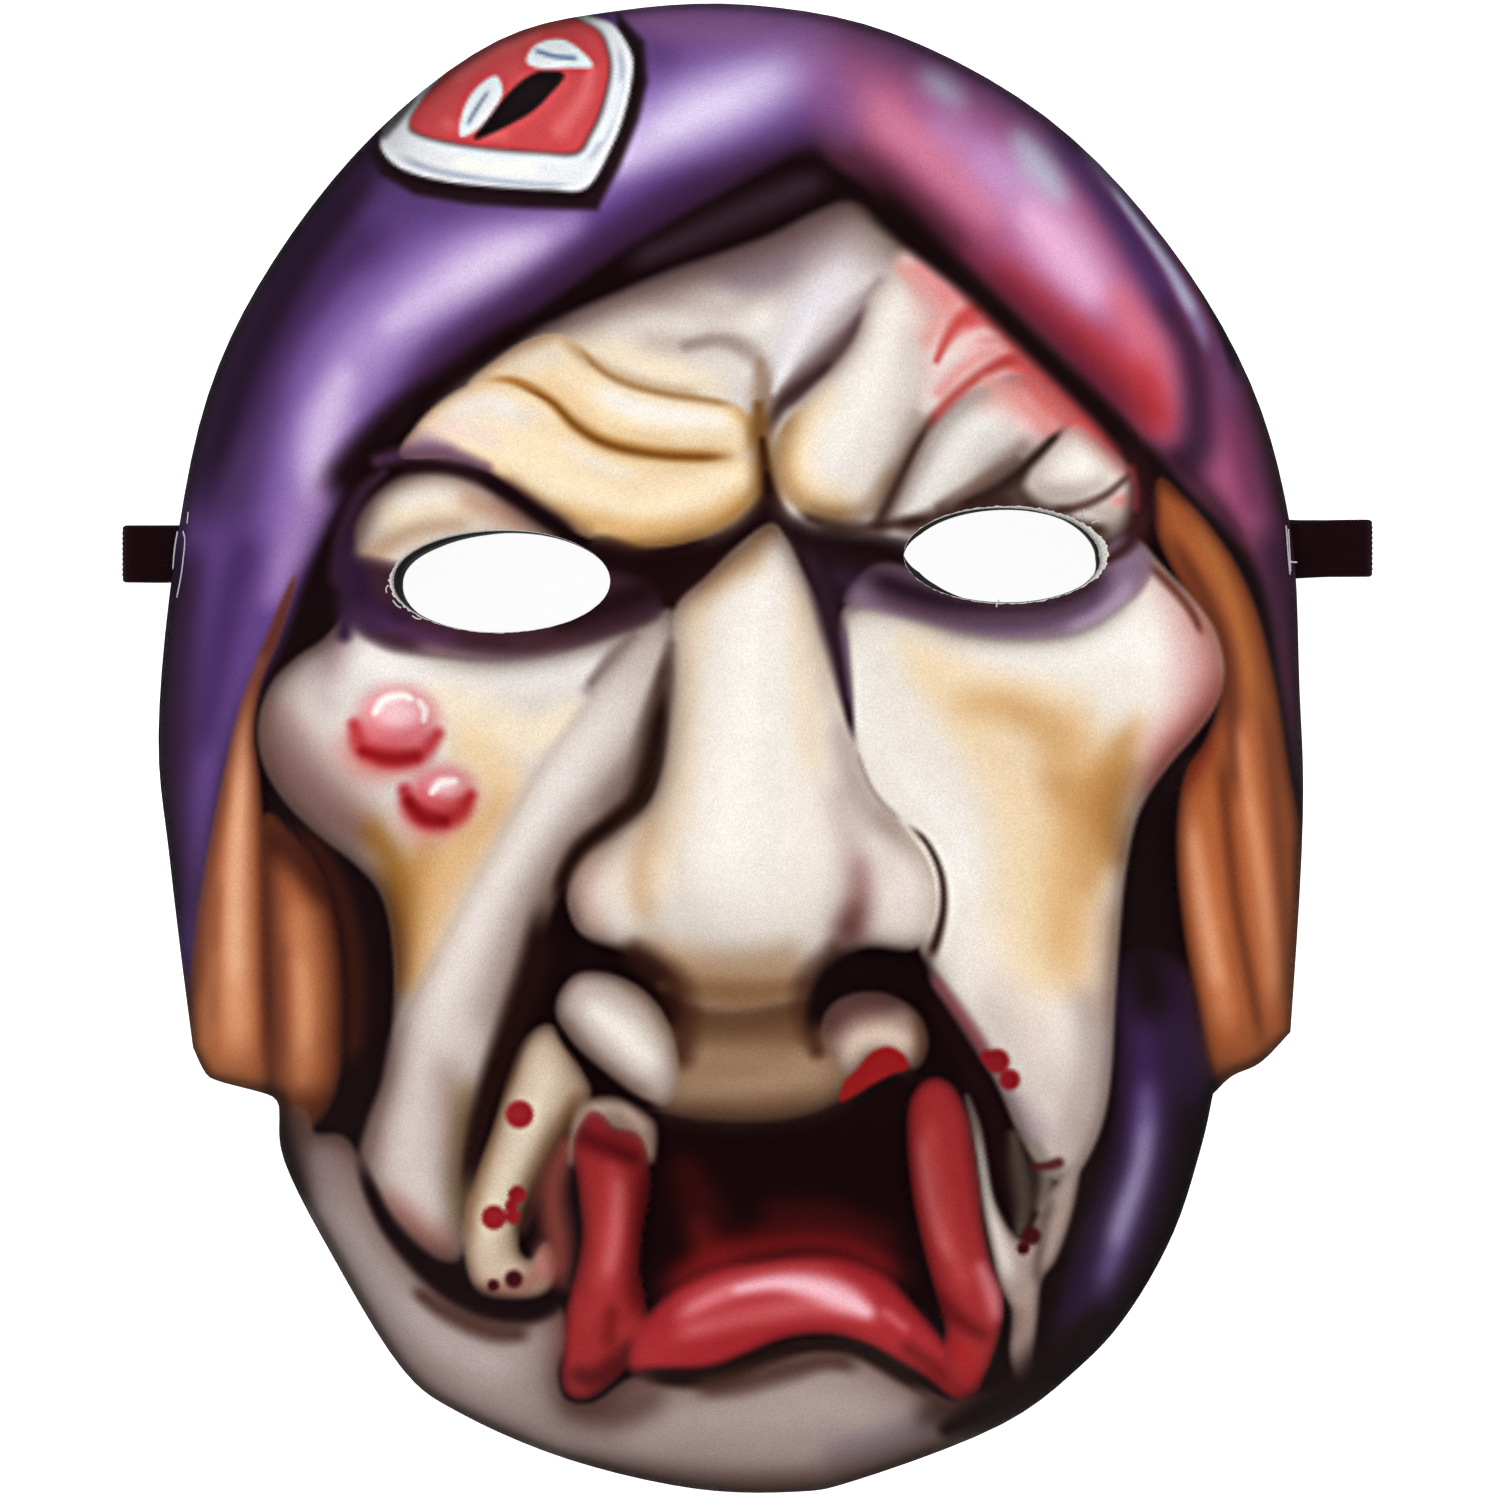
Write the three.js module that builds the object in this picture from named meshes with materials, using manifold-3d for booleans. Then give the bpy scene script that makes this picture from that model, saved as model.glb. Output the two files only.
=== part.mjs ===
// Carnival mask of an old woman: printed cloth on black foam, moulded into a shell with two
// eye holes, and a flat elastic strap. It lies on its rim with the face up.
// Millimetres. +X to the picture's right, +Y to the top of the head, +Z out of the face.

import * as THREE from 'three';
import { mergeVertices } from 'three/addons/utils/BufferGeometryUtils.js';
import Module from 'manifold-3d';

// Shell: the dome rises from a leaning superellipse, and the die-cut outline follows it
const DOME_HALF_WIDTH = 101.5;
const DOME_HALF_LENGTH = 131;
const DOME_SQUARENESS = 2.3;
const DOME_LEAN = THREE.MathUtils.degToRad(3);
const DOME_RISE = 60;
const DOME_POWER = 3;
const FOAM_THICKNESS = 3;

// Mesh fineness
const OUTLINE_STEP = 6.6;
const FRONT_RINGS = 23;
const BACK_RINGS = 13;
const EYE_SIDES = 28;
const SLOPE_STEP = 0.5;
const MERGE_DISTANCE = 1e-4;

// Picture sizes are as seen from this far in front of the table
const SIGHT_DISTANCE = 1600;

// Colours
const PRINT_COLOUR = 0xb59a96;
const ELASTIC_COLOUR = 0x171213;

// Side arches, which let the strap pass under the rim at eye height
const LEFT_ARCH_RISE = 1;
const RIGHT_ARCH_RISE = 6;
const ARCH_Y = 34;
const ARCH_HALF_LENGTH = 17;

// Elastic strap
const STRAP_WIDTH = 10;
const STRAP_THICKNESS = 1;
const STRAP_CHAMFER = 0.35;
const STRAP_STEPS_PER_POINT = 1;

// Die-cut outline, anticlockwise as seen from the front, in four stretches with corners between
const CROWN = [
  [98, -49.8], [100, -12], [99.4, 10], [97.6, 39], [91, 64], [76, 88.7], [55, 110.3], [28.3, 125],
  [3, 130.2], [-20, 129.2], [-41, 124], [-62.1, 107.6], [-80, 85], [-91.5, 61.6], [-97.4, 32],
  [-100.3, 2], [-98.2, -20], [-94.4, -52.5],
];
const LEFT_LOCK_END = [[-94.4, -52.5], [-92.4, -56.5], [-90.1, -58.1], [-80.1, -60.2], [-78.4, -62.1]];
const JAW = [
  [-78.4, -62.1], [-77.7, -71.8], [-69.6, -88.1], [-57.5, -108.6], [-47.3, -116.4], [-28.5, -124.4],
  [-6.6, -129.7], [11, -130.4], [21.7, -128.3], [47.3, -118.3], [61.2, -107.8], [69.6, -98.1],
  [77.1, -84.2], [81.7, -69.1], [83.6, -60],
];
const RIGHT_LOCK_END = [[83.6, -60], [87.1, -57], [92.4, -54.9], [98, -49.8]];

// Eye holes: middle and half sizes in the picture
const EYES = [
  { middle: [-40.6, 29.3], half: [19.3, 9.1] },
  { middle: [48.2, 33.9], half: [17.9, 8.6] },
];
const EYE_CUTTER_DEPTH = 36;

// Forms pressed through the whole shell: x, y, half width and height along each ridge
const PRESSED_FORMS = [
  { name: 'nose', path: [[6.8, 43.5, 13, 3], [6.8, 22.5, 17, 10], [5.9, 0, 20, 16], [5.2, -18, 23, 20]] },
  { name: 'left wing of the nose', path: [[-20.4, -26.7, 13, 9]] },
  { name: 'right wing of the nose', path: [[29.6, -26.7, 13, 9]] },
  { name: 'left cheek', path: [[-60, 4, 27, 5]] },
  { name: 'right cheek', path: [[68, 10, 27, 5]] },
  { name: 'open mouth', path: [[-5.5, -76, 18, -8], [22.6, -76, 18, -8]] },
];

// Forms raised on the front only
const RAISED_FORMS = [
  { name: 'left brow roll', path: [[-52.9, 54.1, 8, 4], [-30, 45, 9, 5], [-16, 38.5, 9, 5], [2.4, 47, 8, 4]] },
  { name: 'left forehead roll', path: [[-45.9, 64.6, 6, 2], [-19.6, 55.5, 7, 4], [3.2, 56, 6, 3]] },
  { name: 'left upper wrinkle', path: [[-30, 71, 7, 2], [-12.5, 64, 7, 3], [3.2, 64, 6, 2]] },
  { name: 'right brow roll', path: [[27, 80, 9, 3], [21, 62, 10, 5], [12, 43, 9, 6]] },
  { name: 'right outer brow', path: [[40, 78, 8, 2], [40, 62, 9, 4], [58.5, 48, 10, 4]] },
  { name: 'left cheek fold', path: [[-19.6, 15, 9, 3], [-30, -9, 11, 5], [-41, -36, 11, 5], [-54, -72, 10, 4]] },
  { name: 'right cheek fold', path: [[42, -38, 11, 4], [52, -58, 12, 5], [58, -80, 10, 3]] },
  { name: 'upper lip', path: [[-26, -41, 9, 5], [-16, -51, 10, 6], [8, -58, 10, 6], [30, -50, 9, 5]] },
  { name: 'left jowl fold', path: [[-32.7, -55, 7, 4], [-40.6, -72, 7, 4], [-44, -88, 6, 3]] },
  { name: 'left lip', path: [[-24.8, -65, 7, 4], [-20.4, -86, 8, 5], [-26, -108, 7, 3]] },
  { name: 'right lip', path: [[36, -61, 8, 4], [41, -83, 8, 5], [41, -104, 7, 3]] },
  { name: 'lower lip', path: [[-14, -102, 9, 5], [-2, -92, 9, 5], [14, -92, 9, 5], [30, -102, 9, 5]] },
  { name: 'chin', path: [[5, -117, 20, 4]] },
  { name: 'left of the hood', path: [[17, 114, 13, 4], [-10, 101, 16, 6], [-48, 81, 17, 6], [-77, 46, 14, 5]] },
  { name: 'left fall of the hood', path: [[-77, 46, 14, 5], [-84, 10, 10, 3]] },
  { name: 'right of the hood', path: [[17, 114, 13, 4], [38, 97, 15, 6], [60, 74, 15, 6], [79, 46, 11, 4]] },
  { name: 'heart brooch', path: [[-38, 110, 18, 3]] },
  { name: 'upper wart', path: [[-58.2, 4.9, 7, 3]] },
  { name: 'lower wart', path: [[-50.6, -8.8, 6, 3]] },
  { name: 'left outer lock', path: [[-86, 0, 8, 3], [-89, -27, 8, 4], [-87, -52, 7, 3]] },
  { name: 'left inner lock', path: [[-76, -22, 7, 3], [-74, -50, 6, 3]] },
  { name: 'right outer lock', path: [[79, 33, 7, 3], [87, 5, 8, 4], [93, -44, 7, 3]] },
  { name: 'right inner lock', path: [[80.5, -12, 7, 3], [84.5, -44, 7, 3]] },
];
const FADE_START = 0.86;

const clamp01 = (t) => Math.min(1, Math.max(0, t));

function smoothStep(low, high, value) {
  const t = clamp01((value - low) / (high - low));
  return t * t * (3 - 2 * t);
}

// A ridge falls from its crest to nothing at its half width
function crest(distance, halfWidth) {
  const t = Math.min(1, distance / halfWidth);
  return (1 - t * t) ** 2;
}

function ridgeHeight(path, x, y) {
  let tallest = 0;
  for (let i = 0; i < Math.max(1, path.length - 1); i++) {
    const from = path[i];
    const to = path[Math.min(i + 1, path.length - 1)];
    const along = [to[0] - from[0], to[1] - from[1]];
    const length2 = along[0] ** 2 + along[1] ** 2;
    const t = length2 ? clamp01(((x - from[0]) * along[0] + (y - from[1]) * along[1]) / length2) : 0;
    const [px, py, halfWidth, height] = from.map((value, k) => value + (to[k] - value) * t);
    const here = height * crest(Math.hypot(x - px, y - py), halfWidth);
    if (Math.abs(here) > Math.abs(tallest)) tallest = here;
  }
  return tallest;
}

// 0 in the middle of the face and 1 on the dome's base curve
function domeRadius(x, y) {
  const across = x * Math.cos(DOME_LEAN) + y * Math.sin(DOME_LEAN);
  const along = y * Math.cos(DOME_LEAN) - x * Math.sin(DOME_LEAN);
  const power = DOME_SQUARENESS;
  const sum = Math.abs(across / DOME_HALF_WIDTH) ** power + Math.abs(along / DOME_HALF_LENGTH) ** power;
  return sum ** (1 / power);
}

function domeHeight(x, y) {
  const radius = domeRadius(x, y);
  const rise = x < 0 ? LEFT_ARCH_RISE : RIGHT_ARCH_RISE;
  const arch = rise * Math.exp(-(((y - ARCH_Y) / ARCH_HALF_LENGTH) ** 2)) * radius ** 6;
  return DOME_RISE * (1 - radius ** DOME_POWER) + arch;
}

// Where a point of the shell shows in the picture
function inPicture(x, y) {
  const spread = SIGHT_DISTANCE / (SIGHT_DISTANCE - domeHeight(x, y));
  return [x * spread, y * spread];
}

function formsHeight(forms, x, y) {
  const [px, py] = inPicture(x, y);
  const fade = 1 - smoothStep(FADE_START, 1, domeRadius(x, y));
  return fade * forms.reduce((sum, form) => sum + ridgeHeight(form.path, px, py), 0);
}

const shellHeight = (x, y) => domeHeight(x, y) + formsHeight(PRESSED_FORMS, x, y);
const frontHeight = (x, y) => shellHeight(x, y) + formsHeight(RAISED_FORMS, x, y);

function shellNormal(x, y) {
  const step = SLOPE_STEP;
  const slopeX = (shellHeight(x + step, y) - shellHeight(x - step, y)) / (2 * step);
  const slopeY = (shellHeight(x, y + step) - shellHeight(x, y - step)) / (2 * step);
  return new THREE.Vector3(-slopeX, -slopeY, 1).normalize();
}

function frontPoint(x, y) {
  return new THREE.Vector3(x, y, frontHeight(x, y));
}

function backPoint(x, y) {
  return new THREE.Vector3(x, y, shellHeight(x, y)).addScaledVector(shellNormal(x, y), -FOAM_THICKNESS);
}

function outlinePoints() {
  const points = [];
  for (const stretch of [CROWN, LEFT_LOCK_END, JAW, RIGHT_LOCK_END]) {
    const curve = new THREE.SplineCurve(stretch.map(([x, y]) => new THREE.Vector2(x, y)));
    const steps = Math.max(3, Math.round(curve.getLength() / OUTLINE_STEP));
    points.push(...curve.getSpacedPoints(steps).slice(0, -1));
  }
  return points;
}

// One side of the shell: a middle point, then rings that grow to the outline
function ringedSide(outline, rings, pointAt) {
  const points = [pointAt(0, 0)];
  for (let ring = 1; ring <= rings; ring++) {
    for (const corner of outline) {
      points.push(pointAt((corner.x * ring) / rings, (corner.y * ring) / rings));
    }
  }
  return points;
}

function ringFaces(count, rings, first, outwards) {
  const faces = [];
  const add = (a, b, c) => faces.push(...(outwards ? [a, b, c] : [a, c, b]));
  for (let i = 0; i < count; i++) {
    const next = (i + 1) % count;
    add(first, first + 1 + i, first + 1 + next);
    for (let ring = 0; ring < rings - 1; ring++) {
      const near = first + 1 + ring * count;
      const far = near + count;
      add(near + i, far + i, far + next);
      add(near + i, far + next, near + next);
    }
  }
  return faces;
}

function shellGeometry() {
  const outline = outlinePoints();
  const count = outline.length;
  const front = ringedSide(outline, FRONT_RINGS, frontPoint);
  const back = ringedSide(outline, BACK_RINGS, backPoint);
  const frontRim = front.length - count;
  const backRim = front.length + back.length - count;
  const faces = ringFaces(count, FRONT_RINGS, 0, true);
  faces.push(...ringFaces(count, BACK_RINGS, front.length, false));
  for (let i = 0; i < count; i++) {
    const next = (i + 1) % count;
    faces.push(frontRim + i, backRim + i, backRim + next);
    faces.push(frontRim + i, backRim + next, frontRim + next);
  }
  const geometry = new THREE.BufferGeometry().setFromPoints([...front, ...back]);
  geometry.setIndex(faces);
  return geometry;
}

// An eye hole is cut square to the shell, so its cutter leans outwards with the dome
function eyeCutter({ middle, half }) {
  const towards = 1 - domeHeight(middle[0], middle[1]) / SIGHT_DISTANCE;
  const [x, y] = middle.map((value) => value * towards);
  const upright = new THREE.Vector3(0, 0, 1);
  const normal = shellNormal(x, y);
  const leanX = Math.hypot(normal.x, normal.z) / normal.z;
  const leanY = Math.hypot(normal.y, normal.z) / normal.z;
  const shape = new THREE.Shape();
  shape.absellipse(0, 0, half[0] * towards * leanX, half[1] * towards * leanY, 0, Math.PI * 2, false, 0);
  const depth = EYE_CUTTER_DEPTH;
  const cutter = new THREE.ExtrudeGeometry(shape, { depth, curveSegments: EYE_SIDES, bevelEnabled: false });
  cutter.translate(0, 0, -depth / 2);
  cutter.applyQuaternion(new THREE.Quaternion().setFromUnitVectors(upright, normal));
  cutter.translate(x, y, shellHeight(x, y));
  return cutter;
}

const wasm = await Module();
wasm.setup();

function toSolid(geometry) {
  const bare = geometry.clone();
  bare.deleteAttribute('normal');
  bare.deleteAttribute('uv');
  const merged = mergeVertices(bare, MERGE_DISTANCE);
  return new wasm.Manifold(new wasm.Mesh({
    numProp: 3,
    vertProperties: new Float32Array(merged.attributes.position.array),
    triVerts: new Uint32Array(merged.index.array),
  }));
}

function toGeometry(solid) {
  const mesh = solid.getMesh();
  const geometry = new THREE.BufferGeometry();
  geometry.setAttribute('position', new THREE.BufferAttribute(mesh.vertProperties, 3));
  geometry.setIndex(new THREE.BufferAttribute(mesh.triVerts, 1));
  geometry.computeVertexNormals();
  return geometry;
}

function maskShell() {
  const uncut = toSolid(shellGeometry());
  return toGeometry(EYES.reduce((solid, eye) => solid.subtract(toSolid(eyeCutter(eye))), uncut));
}

// The strap starts on the inside of the left wall, comes out under the arch and folds back. It
// crosses under the shell along the table, passing above both eye holes, and ends in the same way
const STRAP_ROUTE = [
  [-88.3, 34, 13.3], [-90.6, 34, 9.9], [-93, 34, 6.3], [-94.2, 34, 5.2], [-95.8, 34, 4.5],
  [-98.4, 34, 4.2], [-101.5, 34, 4.1], [-104.5, 34, 4.1], [-105.8, 34, 3.6], [-106.3, 34, 2.3],
  [-105.8, 34, 1.1], [-104.5, 34, 0.6], [-98, 34, 0.6], [-88, 34.6, 0.6], [-76, 37.2, 0.6],
  [-64, 41.2, 0.6], [-52, 45, 0.6], [-38, 48, 0.6], [-20, 50.2, 0.6], [0, 51.8, 0.6],
  [20, 52.6, 0.6], [38, 51.9, 0.6], [52, 49.8, 0.6], [64, 45.8, 0.6], [74, 40.6, 0.6],
  [84, 36.5, 0.6], [96, 34.2, 0.6], [103, 34, 0.6], [110.1, 34, 0.6], [111.4, 34, 1.1],
  [111.9, 34, 2.3], [111.4, 34, 3.6], [110.1, 34, 4.1], [104, 34, 4.1], [98, 34, 4.1],
  [95.4, 34, 4.4], [93.8, 34, 5.3], [92.2, 34, 7.6], [90.3, 34, 10.2], [88.3, 34, 12.9],
];

function strapGeometry() {
  const route = new THREE.CatmullRomCurve3(STRAP_ROUTE.map((point) => new THREE.Vector3(...point)));
  // Sections follow the route's own points, which lie close together in the folds
  route.getPointAt = route.getPoint;
  route.getTangentAt = route.getTangent;
  const halfWidth = STRAP_WIDTH / 2;
  const halfThickness = STRAP_THICKNESS / 2;
  const flatHalf = halfWidth - STRAP_CHAMFER;
  const edgeHalf = halfThickness - STRAP_CHAMFER / 2;
  const corners = [
    [-flatHalf, -halfThickness], [flatHalf, -halfThickness], [halfWidth, -edgeHalf], [halfWidth, edgeHalf],
    [flatHalf, halfThickness], [-flatHalf, halfThickness], [-halfWidth, edgeHalf], [-halfWidth, -edgeHalf],
  ];
  const shape = new THREE.Shape(corners.map(([x, y]) => new THREE.Vector2(x, y)));
  const steps = STRAP_STEPS_PER_POINT * (STRAP_ROUTE.length - 1);
  return new THREE.ExtrudeGeometry(shape, { steps, extrudePath: route, bevelEnabled: false });
}

const printedCloth = new THREE.MeshStandardMaterial({ color: PRINT_COLOUR, roughness: 0.7, metalness: 0 });
const blackElastic = new THREE.MeshStandardMaterial({ color: ELASTIC_COLOUR, roughness: 0.85, metalness: 0 });

function named(name, geometry, material) {
  const mesh = new THREE.Mesh(geometry, material);
  mesh.name = name;
  return mesh;
}

const shell = named('mask_shell', maskShell(), printedCloth);
shell.position.z = -new THREE.Box3().setFromObject(shell).min.z;
const strap = named('elastic_strap', strapGeometry(), blackElastic);

const mask = new THREE.Group();
mask.add(shell, strap);

export default mask;
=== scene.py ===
"""Carnival mask of an old woman: a printed cloth face on moulded black foam, with a flat elastic strap.

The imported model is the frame. Sizes below are millimetres in that frame, and the picture's strokes are
millimetres too, as the camera sees them on the table. Meshes are turned into metres when they are made.
"""

import math

import bpy
import numpy as np
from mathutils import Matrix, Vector
from mathutils.geometry import delaunay_2d_cdt


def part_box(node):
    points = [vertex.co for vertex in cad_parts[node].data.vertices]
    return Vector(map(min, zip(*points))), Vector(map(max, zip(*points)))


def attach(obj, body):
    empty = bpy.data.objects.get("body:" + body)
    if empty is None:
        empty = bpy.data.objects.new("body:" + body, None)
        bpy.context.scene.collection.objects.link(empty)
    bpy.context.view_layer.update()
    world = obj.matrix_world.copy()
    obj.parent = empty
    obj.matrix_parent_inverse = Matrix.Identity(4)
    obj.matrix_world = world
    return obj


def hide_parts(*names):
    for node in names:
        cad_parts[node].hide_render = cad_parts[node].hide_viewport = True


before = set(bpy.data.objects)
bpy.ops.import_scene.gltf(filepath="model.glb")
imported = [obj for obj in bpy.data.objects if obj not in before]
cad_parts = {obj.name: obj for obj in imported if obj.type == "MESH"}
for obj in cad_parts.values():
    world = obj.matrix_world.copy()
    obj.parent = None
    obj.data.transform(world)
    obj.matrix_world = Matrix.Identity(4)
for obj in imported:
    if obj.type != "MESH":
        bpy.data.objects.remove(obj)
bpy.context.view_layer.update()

MM = 0.001
SEED = 7

# Shell, as in the CAD model: a dome over a leaning superellipse
DOME_HALF_WIDTH = 101.5
DOME_HALF_LENGTH = 131
DOME_SQUARENESS = 2.3
DOME_LEAN = math.radians(3)
DOME_RISE = 60
DOME_POWER = 3
FOAM_THICKNESS = 3
SIGHT_DISTANCE = 1600
LEFT_ARCH_RISE = 1
RIGHT_ARCH_RISE = 6
ARCH_Y = 34
ARCH_HALF_LENGTH = 17
ARCH_POWER = 6

# The forms fade out from this dome radius to the rim
FADE_START = 0.86

# Layers of the shell, measured inwards from the printed surface
CLOTH_THICKNESS = 0.5
GLUE_GAP = 0.03

# Distance under which two mesh points would count as one
MERGE_DISTANCE = 1e-6

# Mesh fineness: the printed surface has this many places inside it, closer together where there is detail
FRONT_PITCH = 0.5
FRONT_POINTS = 85500
BACK_PITCH = 2.2
OUTLINE_PITCH = 1.0
EYE_PITCH = 0.35
LATTICE_HALF_SIZE = (104, 134)
DETAIL_REACH = 0.6

# Dome radius within which every place is inside the outline, and the one past which none is
ALL_INSIDE = 0.84
ALL_OUTSIDE = 1.1

# The picture: its grid, its sharpening, and the shade painted towards its cut edge, with a dark line along
# it
PICTURE_HALF_SIZE = (108, 138)
PICTURE_PITCH = 0.5
CRISP_STRENGTH = 0.5
CRISP_REACH = 0.8
EDGE_SHADE = 0.34
EDGE_SHADE_REACH = 4.5
EDGE_LINE = 0.25

# Strokes longer than this many half widths fade out over this share of their length at each end
LONG_STROKE = 7
STROKE_FADE = 0.15

# A spot's soft edge reaches this many radii
SPOT_SPREAD = 1.15

# Die-cut outline, anticlockwise as seen from the front, in four stretches with corners between
CROWN = [
    (98, -49.8), (100, -12), (99.4, 10), (97.6, 39), (91, 64), (76, 88.7), (55, 110.3), (28.3, 125),
    (3, 130.2), (-20, 129.2), (-41, 124), (-62.1, 107.6), (-80, 85), (-91.5, 61.6), (-97.4, 32),
    (-100.3, 2), (-98.2, -20), (-94.4, -52.5),
]
LEFT_LOCK_END = [(-94.4, -52.5), (-92.4, -56.5), (-90.1, -58.1), (-80.1, -60.2), (-78.4, -62.1)]
JAW = [
    (-78.4, -62.1), (-77.7, -71.8), (-69.6, -88.1), (-57.5, -108.6), (-47.3, -116.4), (-28.5, -124.4),
    (-6.6, -129.7), (11, -130.4), (21.7, -128.3), (47.3, -118.3), (61.2, -107.8), (69.6, -98.1),
    (77.1, -84.2), (81.7, -69.1), (83.6, -60),
]
RIGHT_LOCK_END = [(83.6, -60), (87.1, -57), (92.4, -54.9), (98, -49.8)]
OUTLINE = [CROWN, LEFT_LOCK_END, JAW, RIGHT_LOCK_END]

# Eye holes in the picture: middle and half sizes of the cut in the cloth, then, at angles in degrees
# anticlockwise from the right end, how wide the frayed cut edge of the cloth shows, how far the foam
# stands into the hole past it, and how far the foam's back edge does
EYES = {
    "left": {
        "middle": (-40.7, 29.3),
        "half_size": (19.4, 9.1),
        "fray": [
            (0, 0.04), (70, 0.04), (100, 0.3), (150, 0.35), (180, 0.6), (215, 0.4), (240, 0.2), (310, 0.12),
        ],
        "foam": [(0, 0.0), (90, 0.0), (130, 0.45), (180, 0.3), (230, 0.1), (260, 0.0)],
        "back": [(0, 0.0), (90, 0.0), (130, 0.45), (180, 0.3), (230, 0.1), (260, 0.0)],
    },
    "right": {
        "middle": (48.2, 33.9),
        "half_size": (18, 8.6),
        "fray": [
            (0, 1.5), (25, 1.2), (50, 0.55), (75, 0.35), (120, 0.2), (170, 0.15), (200, 0.2), (250, 0.25),
            (320, 0.3), (345, 0.9),
        ],
        "foam": [
            (0, 0.1), (60, 0.0), (110, 0.15), (145, 0.6), (165, 0.4), (180, 0.0), (190, 0.5), (207, 1.1),
            (225, 0.8), (245, 0.1), (300, 0.1),
        ],
        "back": [
            (0, -0.9), (60, -0.7), (110, 0.15), (145, 0.8), (165, 0.6), (180, 0.2), (190, 0.7), (207, 1.3),
            (225, 0.9), (245, 0.1), (300, -0.2), (340, -0.7),
        ],
    },
}

# Raggedness of the cut edges: alike over this many steps, how strong, and its least and most
FRAY_REACH = 2
RAGGEDNESS = 0.45
RAGGED_RANGE = (0.3, 2.2)

# The print's own edge is this ragged, as a share of the cloth edge that shows, up to this width of it
TORN_SHARE = 0.6
TORN_WIDTH = 0.5

# Forms pressed through the whole shell: x, y, half width and height along each ridge
PRESSED_FORMS = {
    "nose": [(6.8, 43.5, 13, 3), (6.8, 22.5, 17, 10), (5.9, 0, 20, 16), (5.2, -18, 23, 20)],
    "left wing of the nose": [(-20.4, -26.7, 13, 9)],
    "right wing of the nose": [(29.6, -26.7, 13, 9)],
    "left cheek": [(-60, 4, 27, 5)],
    "right cheek": [(68, 10, 27, 5)],
    "open mouth": [(-5.5, -76, 18, -8), (22.6, -76, 18, -8)],
}

# Forms raised on the front only
RAISED_FORMS = {
    "left brow roll": [(-52.9, 54.1, 8, 4), (-30, 45, 9, 5), (-16, 38.5, 9, 5), (2.4, 47, 8, 4)],
    "left forehead roll": [(-45.9, 64.6, 6, 2), (-19.6, 55.5, 7, 4), (3.2, 56, 6, 3)],
    "left upper wrinkle": [(-30, 71, 7, 2), (-12.5, 64, 7, 3), (3.2, 64, 6, 2)],
    "right brow roll": [(27, 80, 9, 3), (21, 62, 10, 5), (12, 43, 9, 6)],
    "right outer brow": [(40, 78, 8, 2), (40, 62, 9, 4), (58.5, 48, 10, 4)],
    "left cheek fold": [(-19.6, 15, 9, 3), (-30, -9, 11, 5), (-41, -36, 11, 5), (-54, -72, 10, 4)],
    "right cheek fold": [(42, -38, 11, 4), (52, -58, 12, 5), (58, -80, 10, 3)],
    "upper lip": [(-26, -41, 9, 5), (-16, -51, 10, 6), (8, -58, 10, 6), (30, -50, 9, 5)],
    "left jowl fold": [(-32.7, -55, 7, 4), (-40.6, -72, 7, 4), (-44, -88, 6, 3)],
    "left lip": [(-24.8, -65, 7, 4), (-20.4, -86, 8, 5), (-26, -108, 7, 3)],
    "right lip": [(36, -61, 8, 4), (41, -83, 8, 5), (41, -104, 7, 3)],
    "lower lip": [(-14, -102, 9, 5), (-2, -92, 9, 5), (14, -92, 9, 5), (30, -102, 9, 5)],
    "chin": [(5, -117, 20, 4)],
    "left of the hood": [(17, 114, 13, 4), (-10, 101, 16, 6), (-48, 81, 17, 6), (-77, 46, 14, 5)],
    "left fall of the hood": [(-77, 46, 14, 5), (-84, 10, 10, 3)],
    "right of the hood": [(17, 114, 13, 4), (38, 97, 15, 6), (60, 74, 15, 6), (79, 46, 11, 4)],
    "heart brooch": [(-38, 110, 18, 3)],
    "upper wart": [(-58.2, 4.9, 7, 3)],
    "lower wart": [(-50.6, -8.8, 6, 3)],
    "left outer lock": [(-86, 0, 8, 3), (-89, -27, 8, 4), (-87, -52, 7, 3)],
    "left inner lock": [(-76, -22, 7, 3), (-74, -50, 6, 3)],
    "right outer lock": [(79, 33, 7, 3), (87, 5, 8, 4), (93, -44, 7, 3)],
    "right inner lock": [(80.5, -12, 7, 3), (84.5, -44, 7, 3)],
}

# Creases that the drawing shows are pressed in a little too, where it is darker than its surroundings
TONE_WEIGHTS = (0.3, 0.55, 0.15)
CREASE_DEPTH = 1.5
CREASE_LIMIT = 0.45
CREASE_NARROW = 1.2
CREASE_WIDE = 7

# The cloth's underside follows the front again within this many half sizes of an eye hole's middle
EYE_CLEARANCE = 1.3

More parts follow.
